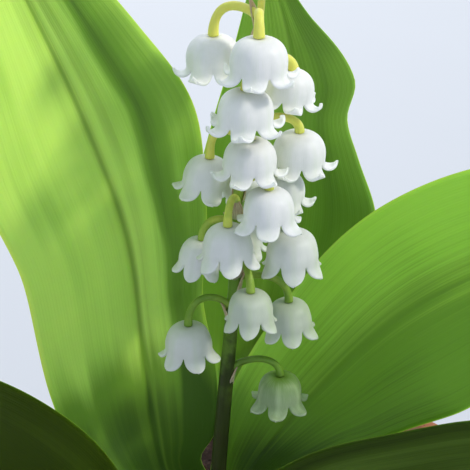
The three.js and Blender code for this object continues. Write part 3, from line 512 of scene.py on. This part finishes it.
# node is where on the stalk the pedicel begins, and crown the top of the bell, both from the soil surface.
# width is the bell's, and rise how far its pedicel arches over the crown. lean is its tilt in radians,
# turn its turn in degrees, curl how far its lobes roll back, in degrees, and green how far it is tinted
# a dark leaf colour, from 0 to 1: partly its own greenness, partly painted shade on bells that hang in
# shade. Buds have no curl and no green of their own.
Flower = namedtuple("Flower", "node crown width rise lean turn curl green", defaults=(0, 0.0))
FLOWERS = [Flower(*row) for row in (
    (56.5, (7.5, -1.0, 56.3), 7.4, 3, 0, 24, 122, 1.0),
    (68.5, (-7.6, -1.0, 66.1), 7.5, 4.8, 0, -12, 80, 0.3),
    (74, (8.7, 0.0, 70.0), 7.2, 4.4, -0.05, 34, 80, 0.56),
    (76.4, (2.4, -8.0, 76.3), 6.9, 2.9, 0, 27, 60, 0.55),
    (81, (1.1, 6.4, 81.1), 6.6, 2.2, 0, 10, 90, 0.08),
    (83.5, (-5.2, 0.5, 81.0), 6.6, 3.4, 0.1, 10, 60, 0.04),
    (83, (8.9, -3.0, 84.2), 8, 0.6, 0, 30, 60, 0.22),
    (87, (-1.1, -6.2, 86.7), 7.5, 3, 0, -20, 75, 0.14),
    (90, (7.4, 4.0, 91.0), 7.4, 0.6, 0, 0, 190, 0.04),
    (92, (5.0, -7.6, 93.4), 7.6, 0.6, 0, 28, 110, 0.0),
    (90, (1.3, 10.5, 88.9), 6.4, 1.5, 0, 0, 110, 0.05),
    (97, (-3.9, 3.0, 93.9), 7.4, 5, 0.13, -13, 108, 0.02),
    (100, (9.8, 1.9, 98.6), 8.3, 2.6, 0, 4, 190, 0.0),
    (101, (2.2, -5.2, 100.3), 8, 1.1, 0, 9, 180, 0.0),
    (105.6, (1.5, -7.6, 108.7), 8.3, 0.5, 0, 24, 190, 0.0),
    (110.5, (8.6, 1.4, 108.6), 7.4, 2.2, 0.14, 40, 200, 0.0),
    (114.5, (3.3, -7.5, 116.2), 8.4, 2.7, 0, 21, 175, 0.0),
    (117, (-3.2, 3.5, 113.2), 8.3, 4.8, 0, 0, 190, 0.0),
)]
BUDS = [Flower(*row) for row in (
    (125, (8, -2.5, 127), 5.2, 1.6, -0.1, 0),
    (129, (-0.4, -5, 131), 4.4, 1.6, 0.1, 20),
    (133, (6, -6, 134.5), 3.6, 1.2, 0, 40),
)]
# (distance from the axis, drop below the crown) down to the notches, as shares of the bell's width.
BELL = [(0.0, 0.03), (0.07, 0.02), (0.13, 0.008), (0.2, 0.01), (0.28, 0.034), (0.355, 0.08), (0.415, 0.14),
        (0.458, 0.215), (0.484, 0.3), (0.497, 0.39), (0.494, 0.48), (0.482, 0.56)]
BELL_WALL = 0.42
LOBES = 6
LOBE_LENGTH = 0.34                  # as a share of the bell's width
LOBE_ROWS = 9
LOBE_COLUMNS = 8


def bell_point(out, drop, curl):
    """The wall of a bell whose lobes hardly curl flares a little towards the lobes."""
    flare = 0.035 * (1 - smooth(curl, 90, 160))
    return out + flare * smooth(drop, 0.25, 0.58), drop


def lobe_arc(share, curl):
    """Distance from the axis and drop of a point on a lobe, at a share of the lobe's length."""
    out, drop = bell_point(*BELL[-1], curl)
    steps = 24
    step = LOBE_LENGTH * share / steps
    for i in range(steps):
        angle = math.radians(curl * (share * (i + 0.5) / steps) ** 1.15)
        out += math.sin(angle) * step
        drop += math.cos(angle) * step
    return out, drop


def bell_shape(width, curl, seed):
    """One sheet: six tepals side by side, joined down to the notches and free below them."""
    rng = random.Random(seed)
    shape = Shape()
    slim = smooth(curl, 90, 170)    # lobes that roll far back look slimmer
    for lobe in range(LOBES):
        middle = 2 * math.pi * lobe / LOBES
        own_curl = curl * rng.uniform(0.92, 1.05)
        sway = rng.uniform(-0.1, 0.1)
        lean = rng.uniform(-0.03, 0.03)
        # A row's distance from the axis, its drop, the share of a sixth of the turn that it fills, how far
        # down the free lobe it is, and its v.
        rows = []
        for i, (out, drop) in enumerate(BELL):
            rows.append((*bell_point(out, drop, curl), 1.0, 0.0, i / (len(BELL) - 1)))
        for i in range(1, LOBE_ROWS + 1):
            share = 1 - (1 - i / LOBE_ROWS) ** 1.5
            spread = max(0.06, (1 - share ** lerp(1.75, 1.35, slim)) ** lerp(0.68, 0.85, slim))
            rows.append((*lobe_arc(share, own_curl), spread, share, 1 + share))
        points, uvs = [], []
        for out, drop, spread, share, v in rows:
            for j in range(LOBE_COLUMNS + 1):
                c = 2 * j / LOBE_COLUMNS - 1
                angle = middle + (c * spread + sway * share) * math.pi / LOBES
                groove = 0.04 * smooth(drop, 0.0, 0.3) * (1 - smooth(share, 0, 0.5)) * abs(c) ** 2.5
                keel = 0.014 * smooth(drop, 0.15, 0.6) * (1 - abs(c)) ** 2 * (1 - share)
                radius = out * (1 - groove + keel)
                fall = drop + 0.02 * share * c * c + lean * share * c
                points.append(polar(radius, angle, -fall) * width)
                uvs.append(((lobe + 0.5 + 0.5 * c * spread) / LOBES, v / 2))
        shape.add(points, grid_faces(len(rows), LOBE_COLUMNS + 1, flip=True), uvs)
    return shape


def blob(shape, centre, radius, half_length, slot):
    """Adds an upright egg shape."""
    points, uvs = [], []
    rows, sides = 7, 8
    for i in range(rows):
        v = i / (rows - 1)
        angle = math.pi * (0.03 + 0.94 * v)
        level = ring(radius * math.sin(angle), sides, half_length * math.cos(angle))
        points += [centre + p for p in level]
        uvs += [(j / sides, v) for j in range(sides)]
    shape.add(points, tube_faces(rows, sides, flip=True), uvs, slot)


ANTHER, PISTIL = 1, 2               # their slots among the materials of a flower


def stamens_shape(width):
    """Six anthers on short filaments inside a bell, round a pistil."""
    shape = Shape()
    for k in range(LOBES):
        place = polar(0.2 * width, 2 * math.pi * (k + 0.5) / LOBES)
        blob(shape, place - (0, 0, 0.3 * width), 0.3, 0.62, ANTHER)
        blob(shape, place - (0, 0, 0.16 * width), 0.14, 0.1 * width, PISTIL)
    blob(shape, (0, 0, -0.2 * width), 0.62, 0.1 * width, PISTIL)
    blob(shape, (0, 0, -0.36 * width), 0.24, 0.12 * width, PISTIL)
    return shape


def petal_paint(name, green):
    """White, a little translucent, with faint ribs and a greener streak down the middle of each lobe.

    green is how far the whole bell is tinted a dark leaf colour, from 0 to 1: partly its own greenness,
    partly painted shade."""
    paint = Paint(name, 0.46, Subsurface_Weight=0.75, Subsurface_Scale=0.0016,
                  Subsurface_Radius=(1.0, 1.0, 1.0), Specular_IOR_Level=0.4)
    across, along, _ = paint.split(paint.uv)
    within = paint.math("FRACT", paint.times(across, LOBES))
    from_middle = paint.math("ABSOLUTE", paint.math("SUBTRACT", within, 0.5))
    fibres = paint.grain(paint.uv, (150.0, 7.0, 1.0))
    clouds = paint.noise(300.0, 3.0)
    white = paint.mix(paint.range(clouds, 0.35, 0.65), (0.90, 0.912, 0.885), (0.96, 0.963, 0.94))
    # The dark leaf colour that green mixes in, and the extra depth it gives the lobe streaks, are partly
    # the bell's own tint and partly painted shade.
    colour = paint.mix(paint.range(along, 0.05, 0.45, green, green * 0.8), white, (0.13, 0.265, 0.02))
    colour = paint.mix(paint.range(along, 0.6, 1.0, 0.0, 0.45 - 0.35 * green), colour, (0.90, 0.93, 0.90))
    streak = paint.times(paint.range(from_middle, 0.2, 0.0, 0.0, 0.14 + 0.3 * green),
                         paint.range(along, 0.1, 0.4))
    colour = paint.mix(streak, colour, (0.52, 0.66, 0.36))
    colour = paint.mix(paint.range(fibres, 0.45, 0.75, 0.0, 0.16), colour, (0.66, 0.76, 0.56))
    height = paint.add(fibres, paint.times(paint.noise(3200.0, 2.0), 0.3))
    return paint.done(colour, paint.bump(height, 0.00002), paint.range(clouds, 0.3, 0.7, 0.42, 0.52))


def plain_tissue(name, light, dark, roughness, scale, sub=0.3):
    """Soft plant tissue of two mottled tones."""
    paint = Paint(name, roughness, Subsurface_Weight=sub, Subsurface_Scale=0.0008,
                  Subsurface_Radius=(0.9, 1.0, 0.4))
    mottle = paint.noise(scale, 4.0)
    colour = paint.mix(paint.range(mottle, 0.35, 0.65), dark, light)
    return paint.done(colour, paint.bump(mottle, 0.00008))


anther = plain_tissue("anther", (0.82, 0.78, 0.42), (0.70, 0.62, 0.28), 0.6, 1800.0)
pistil = plain_tissue("pistil", (0.80, 0.86, 0.62), (0.66, 0.76, 0.44), 0.45, 1200.0)
petals = {green: petal_paint(f"petal_{round(100 * green):02d}", green)
          for green in sorted({flower.green for flower in FLOWERS})}
BELL_MODIFIERS = [
    ("SOLIDIFY", dict(thickness=BELL_WALL * MM, offset=-1.0, use_rim=True)),
    ("SUBSURF", dict(levels=1, render_levels=1)),
]


def hang(shape, flower):
    """Turns a shape that is made round its own axis and puts it in the flower's place."""
    matrix = Matrix.Rotation(flower.lean, 3, "Y") @ Matrix.Rotation(math.radians(flower.turn), 3, "Z")
    shape.points = [np.array(matrix @ Vector(p)) + flower.crown + ON_SOIL for p in shape.points]
    return shape


for number, flower in enumerate(FLOWERS, 1):
    name = f"flower_{number:02d}"
    skins = [petals[flower.green], anther, pistil]
    sheet = hang(bell_shape(flower.width, flower.curl, seed=number), flower)
    stand_for(sheet.piece(name + "_bell", skins, BELL_MODIFIERS, weld=True), "petal", name)
    inside = hang(stamens_shape(flower.width), flower).piece(name + "_stamens", skins)
    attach(inside, "root")


# -------------------- buds

# (distance from the axis, drop below the crown), as shares of the bud's width.
BUD_OUTLINE = [(0.03, 0.0), (0.18, 0.012), (0.32, 0.07), (0.44, 0.2), (0.49, 0.36), (0.5, 0.5),
               (0.46, 0.66), (0.36, 0.8), (0.22, 0.9), (0.1, 0.945), (0.02, 0.955)]
BUD_SIDES = 36


def bud_shape(width):
    """A closed bud with six shallow grooves."""
    points, uvs = [], []
    for i, (out, drop) in enumerate(BUD_OUTLINE):
        for j in range(BUD_SIDES):
            angle = 2 * math.pi * j / BUD_SIDES
            groove = 0.06 * smooth(drop, 0, 0.4) * abs(math.sin(LOBES / 2 * angle)) ** 6
            points.append(polar(out * (1 - groove), angle, -drop) * width)
            uvs.append((j / BUD_SIDES, i / (len(BUD_OUTLINE) - 1)))
    shape = Shape()
    shape.add(points, tube_faces(len(BUD_OUTLINE), BUD_SIDES, flip=True), uvs)
    return shape


bud_skin = plain_tissue("bud", (0.80, 0.86, 0.60), (0.55, 0.68, 0.30), 0.42, 500.0, 0.5)
for number, flower in enumerate(BUDS, 1):
    name = f"bud_{number:02d}"
    stand_for(hang(bud_shape(flower.width), flower).piece(name + "_closed", [bud_skin]), "bud", name)


# -------------------- stalk, pedicels and bracts

STALK_RADII = (1.35, 0.45)          # low and high
STALK_SIDES, STALK_STEPS = 24, 150
PEDICEL_RADII = (0.57, 0.68)
PEDICEL_SIDES, PEDICEL_STEPS = 14, 36
BRACT, PEDICEL = 1, 2               # their slots among the materials of the spray
BRACT_HALF_WIDTH = 1.15
BRACT_THICKNESS = 0.22
BRACT_ROWS, BRACT_COLUMNS = 12, 6


def stalk_share(height):
    """How far along the stalk a height above the soil is."""
    return float(np.interp(height, STALK.samples[:, 2], STALK.reach))


def stalk_radius(u):
    return lerp(*STALK_RADII, smooth(u, 0.3, 1.02))


def pedicel(flower):
    """An arch that leaves the stalk and comes down on the crown from straight above."""
    root = STALK.at(stalk_share(flower.node))
    end = np.array(flower.crown, float)
    # A Bezier curve's middle is an eighth of each end and three quarters of its handles' height.
    handle = (end[2] + flower.rise - (root[2] + end[2]) / 8) / 0.75
    leave = (lerp(root[0], end[0], 0.35), lerp(root[1], end[1], 0.35), handle)
    return bezier(root, leave, (end[0], end[1], handle), end)


def pedicel_radius(node):
    """Pedicels are stouter high on the stalk, and each at its root and where it meets the bell."""
    slender = lerp(*PEDICEL_RADII, smooth(node, 80, 112))
    return lambda u: slender + 0.14 * smooth(u, 0.75, 1) + 0.12 * smooth(0.18 - u, 0, 0.18)


def bract(shape, flower, rng):
    """A thin pointed scale under a pedicel, hugging it at the foot and bending away above."""
    share = stalk_share(flower.node - 1.7)
    root = STALK.at(share)
    out = unit(np.array([flower.crown[0] - root[0], flower.crown[1] - root[1], 0.0]))
    across = np.array([-out[1], out[0], 0.0])
    length = rng.uniform(4.0, 5.2)
    outer, inner, uvs = [], [], []
    for i in range(BRACT_ROWS + 1):
        t = i / BRACT_ROWS
        half = BRACT_HALF_WIDTH * math.sin(math.pi * (0.28 + 0.72 * t)) ** 0.8 * (1 - 0.25 * t) + 0.04
        reach = stalk_radius(share) * 0.85 + 1.25 * t ** 1.6
        for j in range(BRACT_COLUMNS + 1):
            c = 2 * j / BRACT_COLUMNS - 1
            cup = -0.45 * (1 - c * c) * (1 - t) + 0.15
            centre = root + out * (reach - cup * 0.3 - 0.5 * c * c * (1 - t)) + across * half * c
            centre = centre + np.array([0, 0, -0.6 + length * t + SOIL])
            outer.append(centre + out * BRACT_THICKNESS / 2)
            inner.append(centre - out * BRACT_THICKNESS / 2)
            uvs.append((0.5 + 0.5 * c, t))
    shape.add(outer + inner, slab_faces(BRACT_ROWS + 1, BRACT_COLUMNS + 1), uvs + uvs, BRACT)


def stalk_paint(name, ahead):
    """Purple-brown at the foot, dark olive, then lime to yellow towards the top, with fine ridges. The
    dark foot and olive part are partly the stalk's own colour and partly painted shade.

    ahead says how far below its height on the stalk a colour already shows."""
    paint = Paint(name, 0.4, Subsurface_Weight=0.3, Subsurface_Scale=0.0009,
                  Subsurface_Radius=(0.8, 1.0, 0.2), Specular_IOR_Level=0.25)
    _, _, height = paint.split(paint.place)
    mottle = paint.noise(260.0, 4.0)
    grain = paint.grain(paint.place, (1500.0, 1500.0, 90.0))
    level = paint.add(height, paint.range(mottle, 0.3, 0.7, ahead - 0.006, ahead + 0.006))
    # The dark purple-brown and olive low on the stalk are partly its own colour and partly painted shade.
    colour = paint.mix(paint.range(level, 0.118, 0.15), (0.036, 0.03, 0.016), (0.034, 0.054, 0.007))
    colour = paint.mix(paint.range(level, 0.155, 0.176), colour, (0.17, 0.32, 0.035))
    colour = paint.mix(paint.range(level, 0.178, 0.202), colour, (0.44, 0.58, 0.10))
    colour = paint.mix(paint.range(level, 0.195, 0.215), colour, (0.78, 0.77, 0.16))
    colour = paint.mix(paint.range(grain, 0.42, 0.7, 0.0, 0.3), colour, (0.30, 0.40, 0.10), "SOFT_LIGHT")
    return paint.done(colour, paint.bump(grain, 0.0001), paint.range(mottle, 0.3, 0.7, 0.34, 0.48))


def bract_paint():
    """Thin dry scale: pale straw with brownish-pink veins."""
    paint = Paint("bract", 0.6, Subsurface_Weight=0.5, Subsurface_Scale=0.0008,
                  Subsurface_Radius=(1.0, 0.8, 0.5))
    _, along, _ = paint.split(paint.uv)
    veins = paint.grain(paint.uv, (26.0, 2.5, 1.0))
    colour = paint.mix(paint.range(veins, 0.38, 0.66), (0.66, 0.60, 0.34), (0.42, 0.25, 0.18))
    colour = paint.mix(paint.range(along, 0.5, 1.0, 0.0, 0.7), colour, (0.48, 0.33, 0.22))
    colour = paint.mix(paint.range(along, 0.3, 0.0, 0.0, 0.6), colour, (0.52, 0.58, 0.26))
    return paint.done(colour, paint.bump(veins, 0.00012))


spray = Shape()
sweep(spray, Path(STALK.samples + ON_SOIL), stalk_radius, STALK_SIDES, STALK_STEPS, ridge=0.05)
rng = random.Random(7)
for flower in [*FLOWERS, *BUDS]:
    arch = Path(pedicel(flower).samples + ON_SOIL)
    sweep(spray, arch, pedicel_radius(flower.node), PEDICEL_SIDES, PEDICEL_STEPS, slot=PEDICEL)
    bract(spray, flower, rng)
skins = [stalk_paint("stalk", 0.0), bract_paint(), stalk_paint("pedicel", 0.012)]
stand_for(spray.piece("flower_stalk_spray", skins), "stalk", "flower_stalk")


# -------------------- sheaths

# The height of each mouth above the soil, and the way in which it slants down, in radians.
SHEATHS = {"front": (9, 0.4), "rear": (6.5, 2.2), "side": (8, 1.2)}
SHEATH_SIDES = 96
SHEATH_ROWS = 18
SHEATH_GAP = 1.35                   # from the shoot to the outside of its sheath
SHEATH_THICKNESS = 0.4


def shoot_outline(shoot, grow, angle):
    """The x and y of a point outside the circles of a shoot, farther out by grow."""
    circles = [(*SHOOT_CENTRES[shoot], OUTER_WRAP + 0.7)]
    if shoot == "front":
        circles.append((*STALK_FOOT, STALK_RADII[0]))
    x, y, radius = max(circles, key=lambda c: c[0] * math.cos(angle) + c[1] * math.sin(angle) + c[2])
    return polar(radius + grow, angle)[:2] + (x, y)


def sheath_shape(shoot, mouth, low):
    """A dry torn tube, ragged and slanting at its mouth."""
    points, uvs = [], []
    for i in range(SHEATH_ROWS + 1):
        t = i / SHEATH_ROWS
        for j in range(SHEATH_SIDES):
            angle = 2 * math.pi * j / SHEATH_SIDES
            tear = noise.noise(Vector((4 * math.cos(angle), 4 * math.sin(angle), low)))
            tear += 0.6 * noise.noise(Vector((15 * math.cos(angle), 15 * math.sin(angle), low)))
            top = mouth * (1 - 0.38 * (1 + math.cos(angle - low)) + 0.12 * tear)
            pleat = 0.12 * math.sin(23 * angle + 5 * tear) * smooth(t, 0.3, 1)
            x, y = shoot_outline(shoot, SHEATH_GAP + pleat - 0.1 * t, angle)
            points.append(np.array([x, y, SOIL + lerp(SHOOT_FOOT, max(top, 0.6), t)]))
            uvs.append((j / SHEATH_SIDES, t))
    shape = Shape()
    shape.add(points, grid_faces(SHEATH_ROWS + 1, SHEATH_SIDES, closed=True), uvs)
    return shape


def sheath_paint():
    paint = Paint("sheath", 0.68, Subsurface_Weight=0.15, Subsurface_Scale=0.0006,
                  Subsurface_Radius=(1.0, 0.6, 0.4))
    _, along, _ = paint.split(paint.uv)
    fibres = paint.grain(paint.uv, (120.0, 2.2, 1.0), 5.0)
    blotches = paint.noise(240.0, 4.0)
    colour = paint.mix(paint.range(fibres, 0.35, 0.68), (0.10, 0.045, 0.05), (0.34, 0.21, 0.17))
    colour = paint.mix(paint.range(blotches, 0.45, 0.7, 0.0, 0.7), colour, (0.45, 0.34, 0.24))
    colour = paint.mix(paint.range(along, 0.82, 1.0, 0.0, 0.6), colour, (0.52, 0.42, 0.3))
    return paint.done(colour, paint.bump(fibres, 0.0003))


sheath_skin = sheath_paint()
shell = [("SOLIDIFY", dict(thickness=SHEATH_THICKNESS * MM, offset=-1.0, use_rim=True))]
for shoot, (mouth, low) in SHEATHS.items():
    sheath = sheath_shape(shoot, mouth, low).piece(f"sheath_{shoot}_torn", [sheath_skin], shell)
    stand_for(sheath, "sheath", f"sheath_{shoot}")


# -------------------- rootstock

def root_paint():
    paint = Paint("rootstock", 0.8)
    rings = paint.grain(paint.place, (300.0, 300.0, 900.0), 4.0)
    spots = paint.noise(700.0, 3.0)
    colour = paint.mix(paint.range(rings, 0.35, 0.65), (0.38, 0.27, 0.15), (0.66, 0.55, 0.36))
    colour = paint.mix(paint.range(spots, 0.55, 0.7), colour, (0.2, 0.13, 0.08))
    return paint.done(colour, paint.bump(rings, 0.0004))


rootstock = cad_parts["rootstock"]
rootstock.data.materials.clear()
rootstock.data.materials.append(root_paint())


# -------------------- pot

POT_SIDES = 144
# (radius, height) from the middle of the floor up the inside, over the rim and down to the foot.
POT_OUTLINE = [(0, 6), (30, 6), (36.5, 6.2), (38.6, 7.4), (39.6, 10), (60.2, 104), (60.9, 109.6),
               (61.5, 111.4), (62.7, 112), (64.3, 112), (65.5, 111.3), (66, 109.8), (64.9, 99),
               (63.9, 90.2), (63.3, 88.4), (62.2, 88), (60.4, 87.9), (59.6, 87.2), (59.3, 86), (43.4, 5),
               (43, 2), (42.2, 0.7), (40.8, 0), (30, 0), (0, 0)]
POT_STEP = 3.0                      # longest step along the outline
DRAINS = 3
DRAIN_RADIUS = 5.0
DRAIN_REACH = 22.0                  # from the axis of the pot


def pot_shape():
    outline = [np.array(p, float) for p in POT_OUTLINE]
    profile = [outline[0]]
    for a, b in zip(outline, outline[1:]):
        count = max(1, int(np.linalg.norm(b - a) / POT_STEP))
        profile.extend(lerp(a, b, k / count) for k in range(1, count + 1))
    points, uvs = [], []
    for i, (radius, z) in enumerate(profile):
        for j in range(POT_SIDES):
            angle = 2 * math.pi * j / POT_SIDES
            spot = Vector((math.cos(angle), math.sin(angle), z / 45))
            wobble = 0.22 * noise.noise(spot * 1.6) + 0.06 * math.sin(z * 1.15 + 0.6 * math.sin(angle))
            reach = radius if radius < 35 or z < 1 else radius + wobble     # the floor and foot are true
            points.append(polar(reach, angle, z))
            uvs.append((j / POT_SIDES, i / (len(profile) - 1)))
    shape = Shape()
    shape.add(points, grid_faces(len(profile), POT_SIDES, closed=True, flip=True), uvs)
    return shape


def clay_paint():
    """Unglazed red clay: mottled, speckled, with a pale bloom of salts near the rim and the foot."""
    paint = Paint("clay", 0.86, Specular_IOR_Level=0.25)
    _, _, height = paint.split(paint.place)
    clouds = paint.noise(28.0, 6.0)
    grit = paint.noise(900.0, 4.0)
    turned = paint.grain(paint.place, (8.0, 8.0, 420.0))
    pits = paint.node("ShaderNodeTexVoronoi", {"Vector": paint.place, "Scale": 520.0}).outputs[0]
    colour = paint.mix(paint.range(clouds, 0.35, 0.65), (0.46, 0.165, 0.075), (0.60, 0.25, 0.125))
    colour = paint.mix(paint.range(turned, 0.4, 0.65, 0.0, 0.35), colour, (0.66, 0.32, 0.18))
    colour = paint.mix(paint.range(grit, 0.55, 0.72, 0.0, 0.55), colour, (0.34, 0.12, 0.06))
    salts = paint.add(paint.range(height, 0.012, 0.0, 0.0, 0.5),
                      paint.range(height, 0.097, 0.112, 0.0, 0.35))
    salts = paint.times(salts, paint.range(paint.noise(60.0, 6.0), 0.42, 0.62))
    colour = paint.mix(salts, colour, (0.78, 0.66, 0.56))
    relief = paint.add(paint.times(grit, 0.6), paint.times(turned, 0.8),
                       paint.range(pits, 0.0, 0.16, -0.5, 0.0))
    return paint.done(colour, paint.bump(relief, 0.00035), paint.range(clouds, 0.3, 0.7, 0.78, 0.92))


pot = pot_shape().piece("pot_clay", [clay_paint()], weld=True)
for k in range(DRAINS):
    angle = 2 * math.pi * (k + 0.25) / DRAINS
    bpy.ops.mesh.primitive_cylinder_add(
        vertices=40, radius=DRAIN_RADIUS * MM, depth=20 * MM,
        location=polar(DRAIN_REACH, angle, 3) * MM)
    drill = bpy.context.object
    cut = pot.modifiers.new("drain", "BOOLEAN")
    cut.operation = "DIFFERENCE"
    cut.object = drill
    bpy.context.view_layer.update()
    drilled = bpy.data.meshes.new_from_object(pot.evaluated_get(bpy.context.evaluated_depsgraph_get()))
    pot.modifiers.clear()
    pot.data = drilled
    bpy.data.objects.remove(drill)
stand_for(pot, "pot", "pot")


# -------------------- soil

SOIL_GAP = 0.45                     # to the wall of the pot
SOIL_SIDES = 200
SOIL_RINGS = 74                     # on the surface
SOIL_LEVELS = (6.5, 30, 55, 80, 97)
CRUMB_TRIES = 420
CRUMB_CLEARANCE = 7.5               # to the centre of a shoot
BARK_SHARE = 0.2                    # share of the crumbs that are bark


def soil_radius(z):
    """The radius of the cone of soil at a height, from the pot's bore."""
    return lerp(38.5, 61, (z - 6) / 106) - SOIL_GAP


def soil_height(x, y):
    mound = math.sin(0.19 * x + 1) * math.cos(0.16 * y) + 0.5 * math.sin(0.4 * x - 0.33 * y)
    rough = 0.9 * noise.fractal(Vector((x, y, 3.0)) * 0.22, 0.6, 2.1, 5)
    rim = math.hypot(x, y) / (soil_radius(SOIL) + 0.05)
    return SOIL + mound + rough * 1.3 - 0.8 * smooth(rim, 0.93, 1.0)


def add_crumbs(shape):
    """Loose lumps of peat and bark, half sunk in the surface."""
    rng = random.Random(11)
    ball = bmesh.new()
    bmesh.ops.create_icosphere(ball, subdivisions=2, radius=1.0)
    ball_points = [v.co.copy() for v in ball.verts]
    ball_faces = [tuple(v.index for v in f.verts) for f in ball.faces]
    ball.free()
    for k in range(CRUMB_TRIES):
        radius = (soil_radius(SOIL) - 2.5) * math.sqrt(rng.random())
        x, y, _ = polar(radius, rng.uniform(0, 2 * math.pi))
        if any(math.hypot(x - cx, y - cy) < CRUMB_CLEARANCE for cx, cy in SHOOT_CENTRES.values()):
            continue
        size = rng.uniform(0.5, 1.0) * (1 + 1.1 * rng.random() ** 5)
        flat = rng.uniform(0.5, 0.85)
        turn = Euler([rng.uniform(0, 6.28) for _ in range(3)]).to_matrix()
        centre = np.array([x, y, soil_height(x, y) + 0.15 * size])
        lump = []
        for co in ball_points:
            bulge = 1 + 0.45 * noise.noise(co * 1.7 + Vector((k * 3.1, 0, 0)))
            local = turn @ (Vector((co.x, co.y * flat, co.z * 0.9)) * bulge * size)
            lump.append(centre + np.array(local))
        shape.add(lump, ball_faces, [(0.5, 0.5)] * len(lump), 1 if rng.random() < BARK_SHARE else 0)


def soil_shape():
    """A filled cone up to a crumbly surface."""
    points, uvs = [], []
    for z in SOIL_LEVELS:
        points += ring(soil_radius(z), SOIL_SIDES, z)
        uvs += [(j / SOIL_SIDES, 0.0) for j in range(SOIL_SIDES)]
    for i in range(SOIL_RINGS):
        for x, y, _ in ring(soil_radius(SOIL) * (1 - i / SOIL_RINGS), SOIL_SIDES, 0.0):
            points.append(np.array([x, y, soil_height(x, y)]))
        uvs += [(j / SOIL_SIDES, i / SOIL_RINGS) for j in range(SOIL_SIDES)]
    shape = Shape()
    shape.add(points, tube_faces(len(SOIL_LEVELS) + SOIL_RINGS, SOIL_SIDES), uvs)
    add_crumbs(shape)
    return shape


def soil_paint(name, dark, light):
    paint = Paint(name, 0.93, Specular_IOR_Level=0.2)
    grains = paint.noise(520.0, 6.0, roughness=0.7)
    clods = paint.noise(120.0, 5.0)
    flecks = paint.node("ShaderNodeTexVoronoi", {"Vector": paint.place, "Scale": 900.0}).outputs[0]
    colour = paint.mix(paint.range(clods, 0.35, 0.65), dark, light)
    colour = paint.mix(paint.range(grains, 0.52, 0.7, 0.0, 0.7), colour, (0.16, 0.10, 0.075))
    colour = paint.mix(paint.range(flecks, 0.09, 0.03, 0.0, 0.8), colour, (0.34, 0.26, 0.2))
    return paint.done(colour, paint.bump(paint.add(grains, paint.times(flecks, 0.5)), 0.0009))


peat = soil_paint("peat", (0.022, 0.014, 0.012), (0.055, 0.034, 0.027))
bark = soil_paint("bark_crumbs", (0.06, 0.03, 0.025), (0.13, 0.075, 0.055))
stand_for(soil_shape().piece("soil_crumbly", [peat, bark]), "soil", "soil")


# -------------------- stage, light and camera

def pale_paint():
    paint = Paint("floor", 0.8)
    return paint.done(paint.mix(paint.noise(3.0), (0.84, 0.84, 0.83), (0.88, 0.88, 0.87)))


bpy.ops.mesh.primitive_plane_add(size=8)
floor = bpy.context.object
floor.name = "floor"
floor.data.materials.append(pale_paint())

scene = bpy.context.scene
scene.view_settings.view_transform = "Standard"
world = bpy.data.worlds.new("studio")
world.use_nodes = True
sky = world.node_tree.nodes["Background"]
sky.inputs["Color"].default_value = (0.76, 0.845, 1.0, 1.0)
sky.inputs["Strength"].default_value = 0.775
scene.world = world


def add_light(kind, name, place, aim, power, colour, **settings):
    """Places are in metres here and for the camera."""
    light = bpy.data.lights.new(name, kind)
    light.energy = power
    light.color = colour
    for key, value in settings.items():
        setattr(light, key, value)
    made = bpy.data.objects.new(name, light)
    made.location = place
    made.rotation_euler = (Vector(aim) - Vector(place)).to_track_quat("-Z", "Y").to_euler()
    scene.collection.objects.link(made)


# The pale sky lights the whole plant. The soft key brightens the upper bells from the right, and the light
# at the back brightens the floor behind the plant and shines through its leaves a little.
add_light("SPOT", "key", (0.89, -0.19, 1.03), (0.0, 0.0, 0.276), 108, (1.0, 0.95, 0.84),
          shadow_soft_size=0.12, spot_size=math.radians(9.8), spot_blend=1.0)
add_light("AREA", "back", (-0.15, 0.95, 0.95), (0, 0.45, 0), 5.0, (1.0, 1.0, 1.0), size=1.2)

PICTURE_WIDTH = 470                 # pixels
FOCAL_LENGTH = 1115                 # in the same pixels
SENSOR = 36
TARGET = Vector((0, 0, SOIL + 82)) * MM
DISTANCE = 0.175
DOWN = math.radians(27)
camera = bpy.data.objects.new("camera", bpy.data.cameras.new("camera"))
camera.data.sensor_width = SENSOR
camera.data.lens = SENSOR * FOCAL_LENGTH / PICTURE_WIDTH
camera.data.clip_start = 0.005
camera.location = TARGET + Vector((0, -math.cos(DOWN), math.sin(DOWN))) * DISTANCE
camera.rotation_euler = (math.pi / 2 - DOWN, 0, 0)
scene.collection.objects.link(camera)
scene.camera = camera
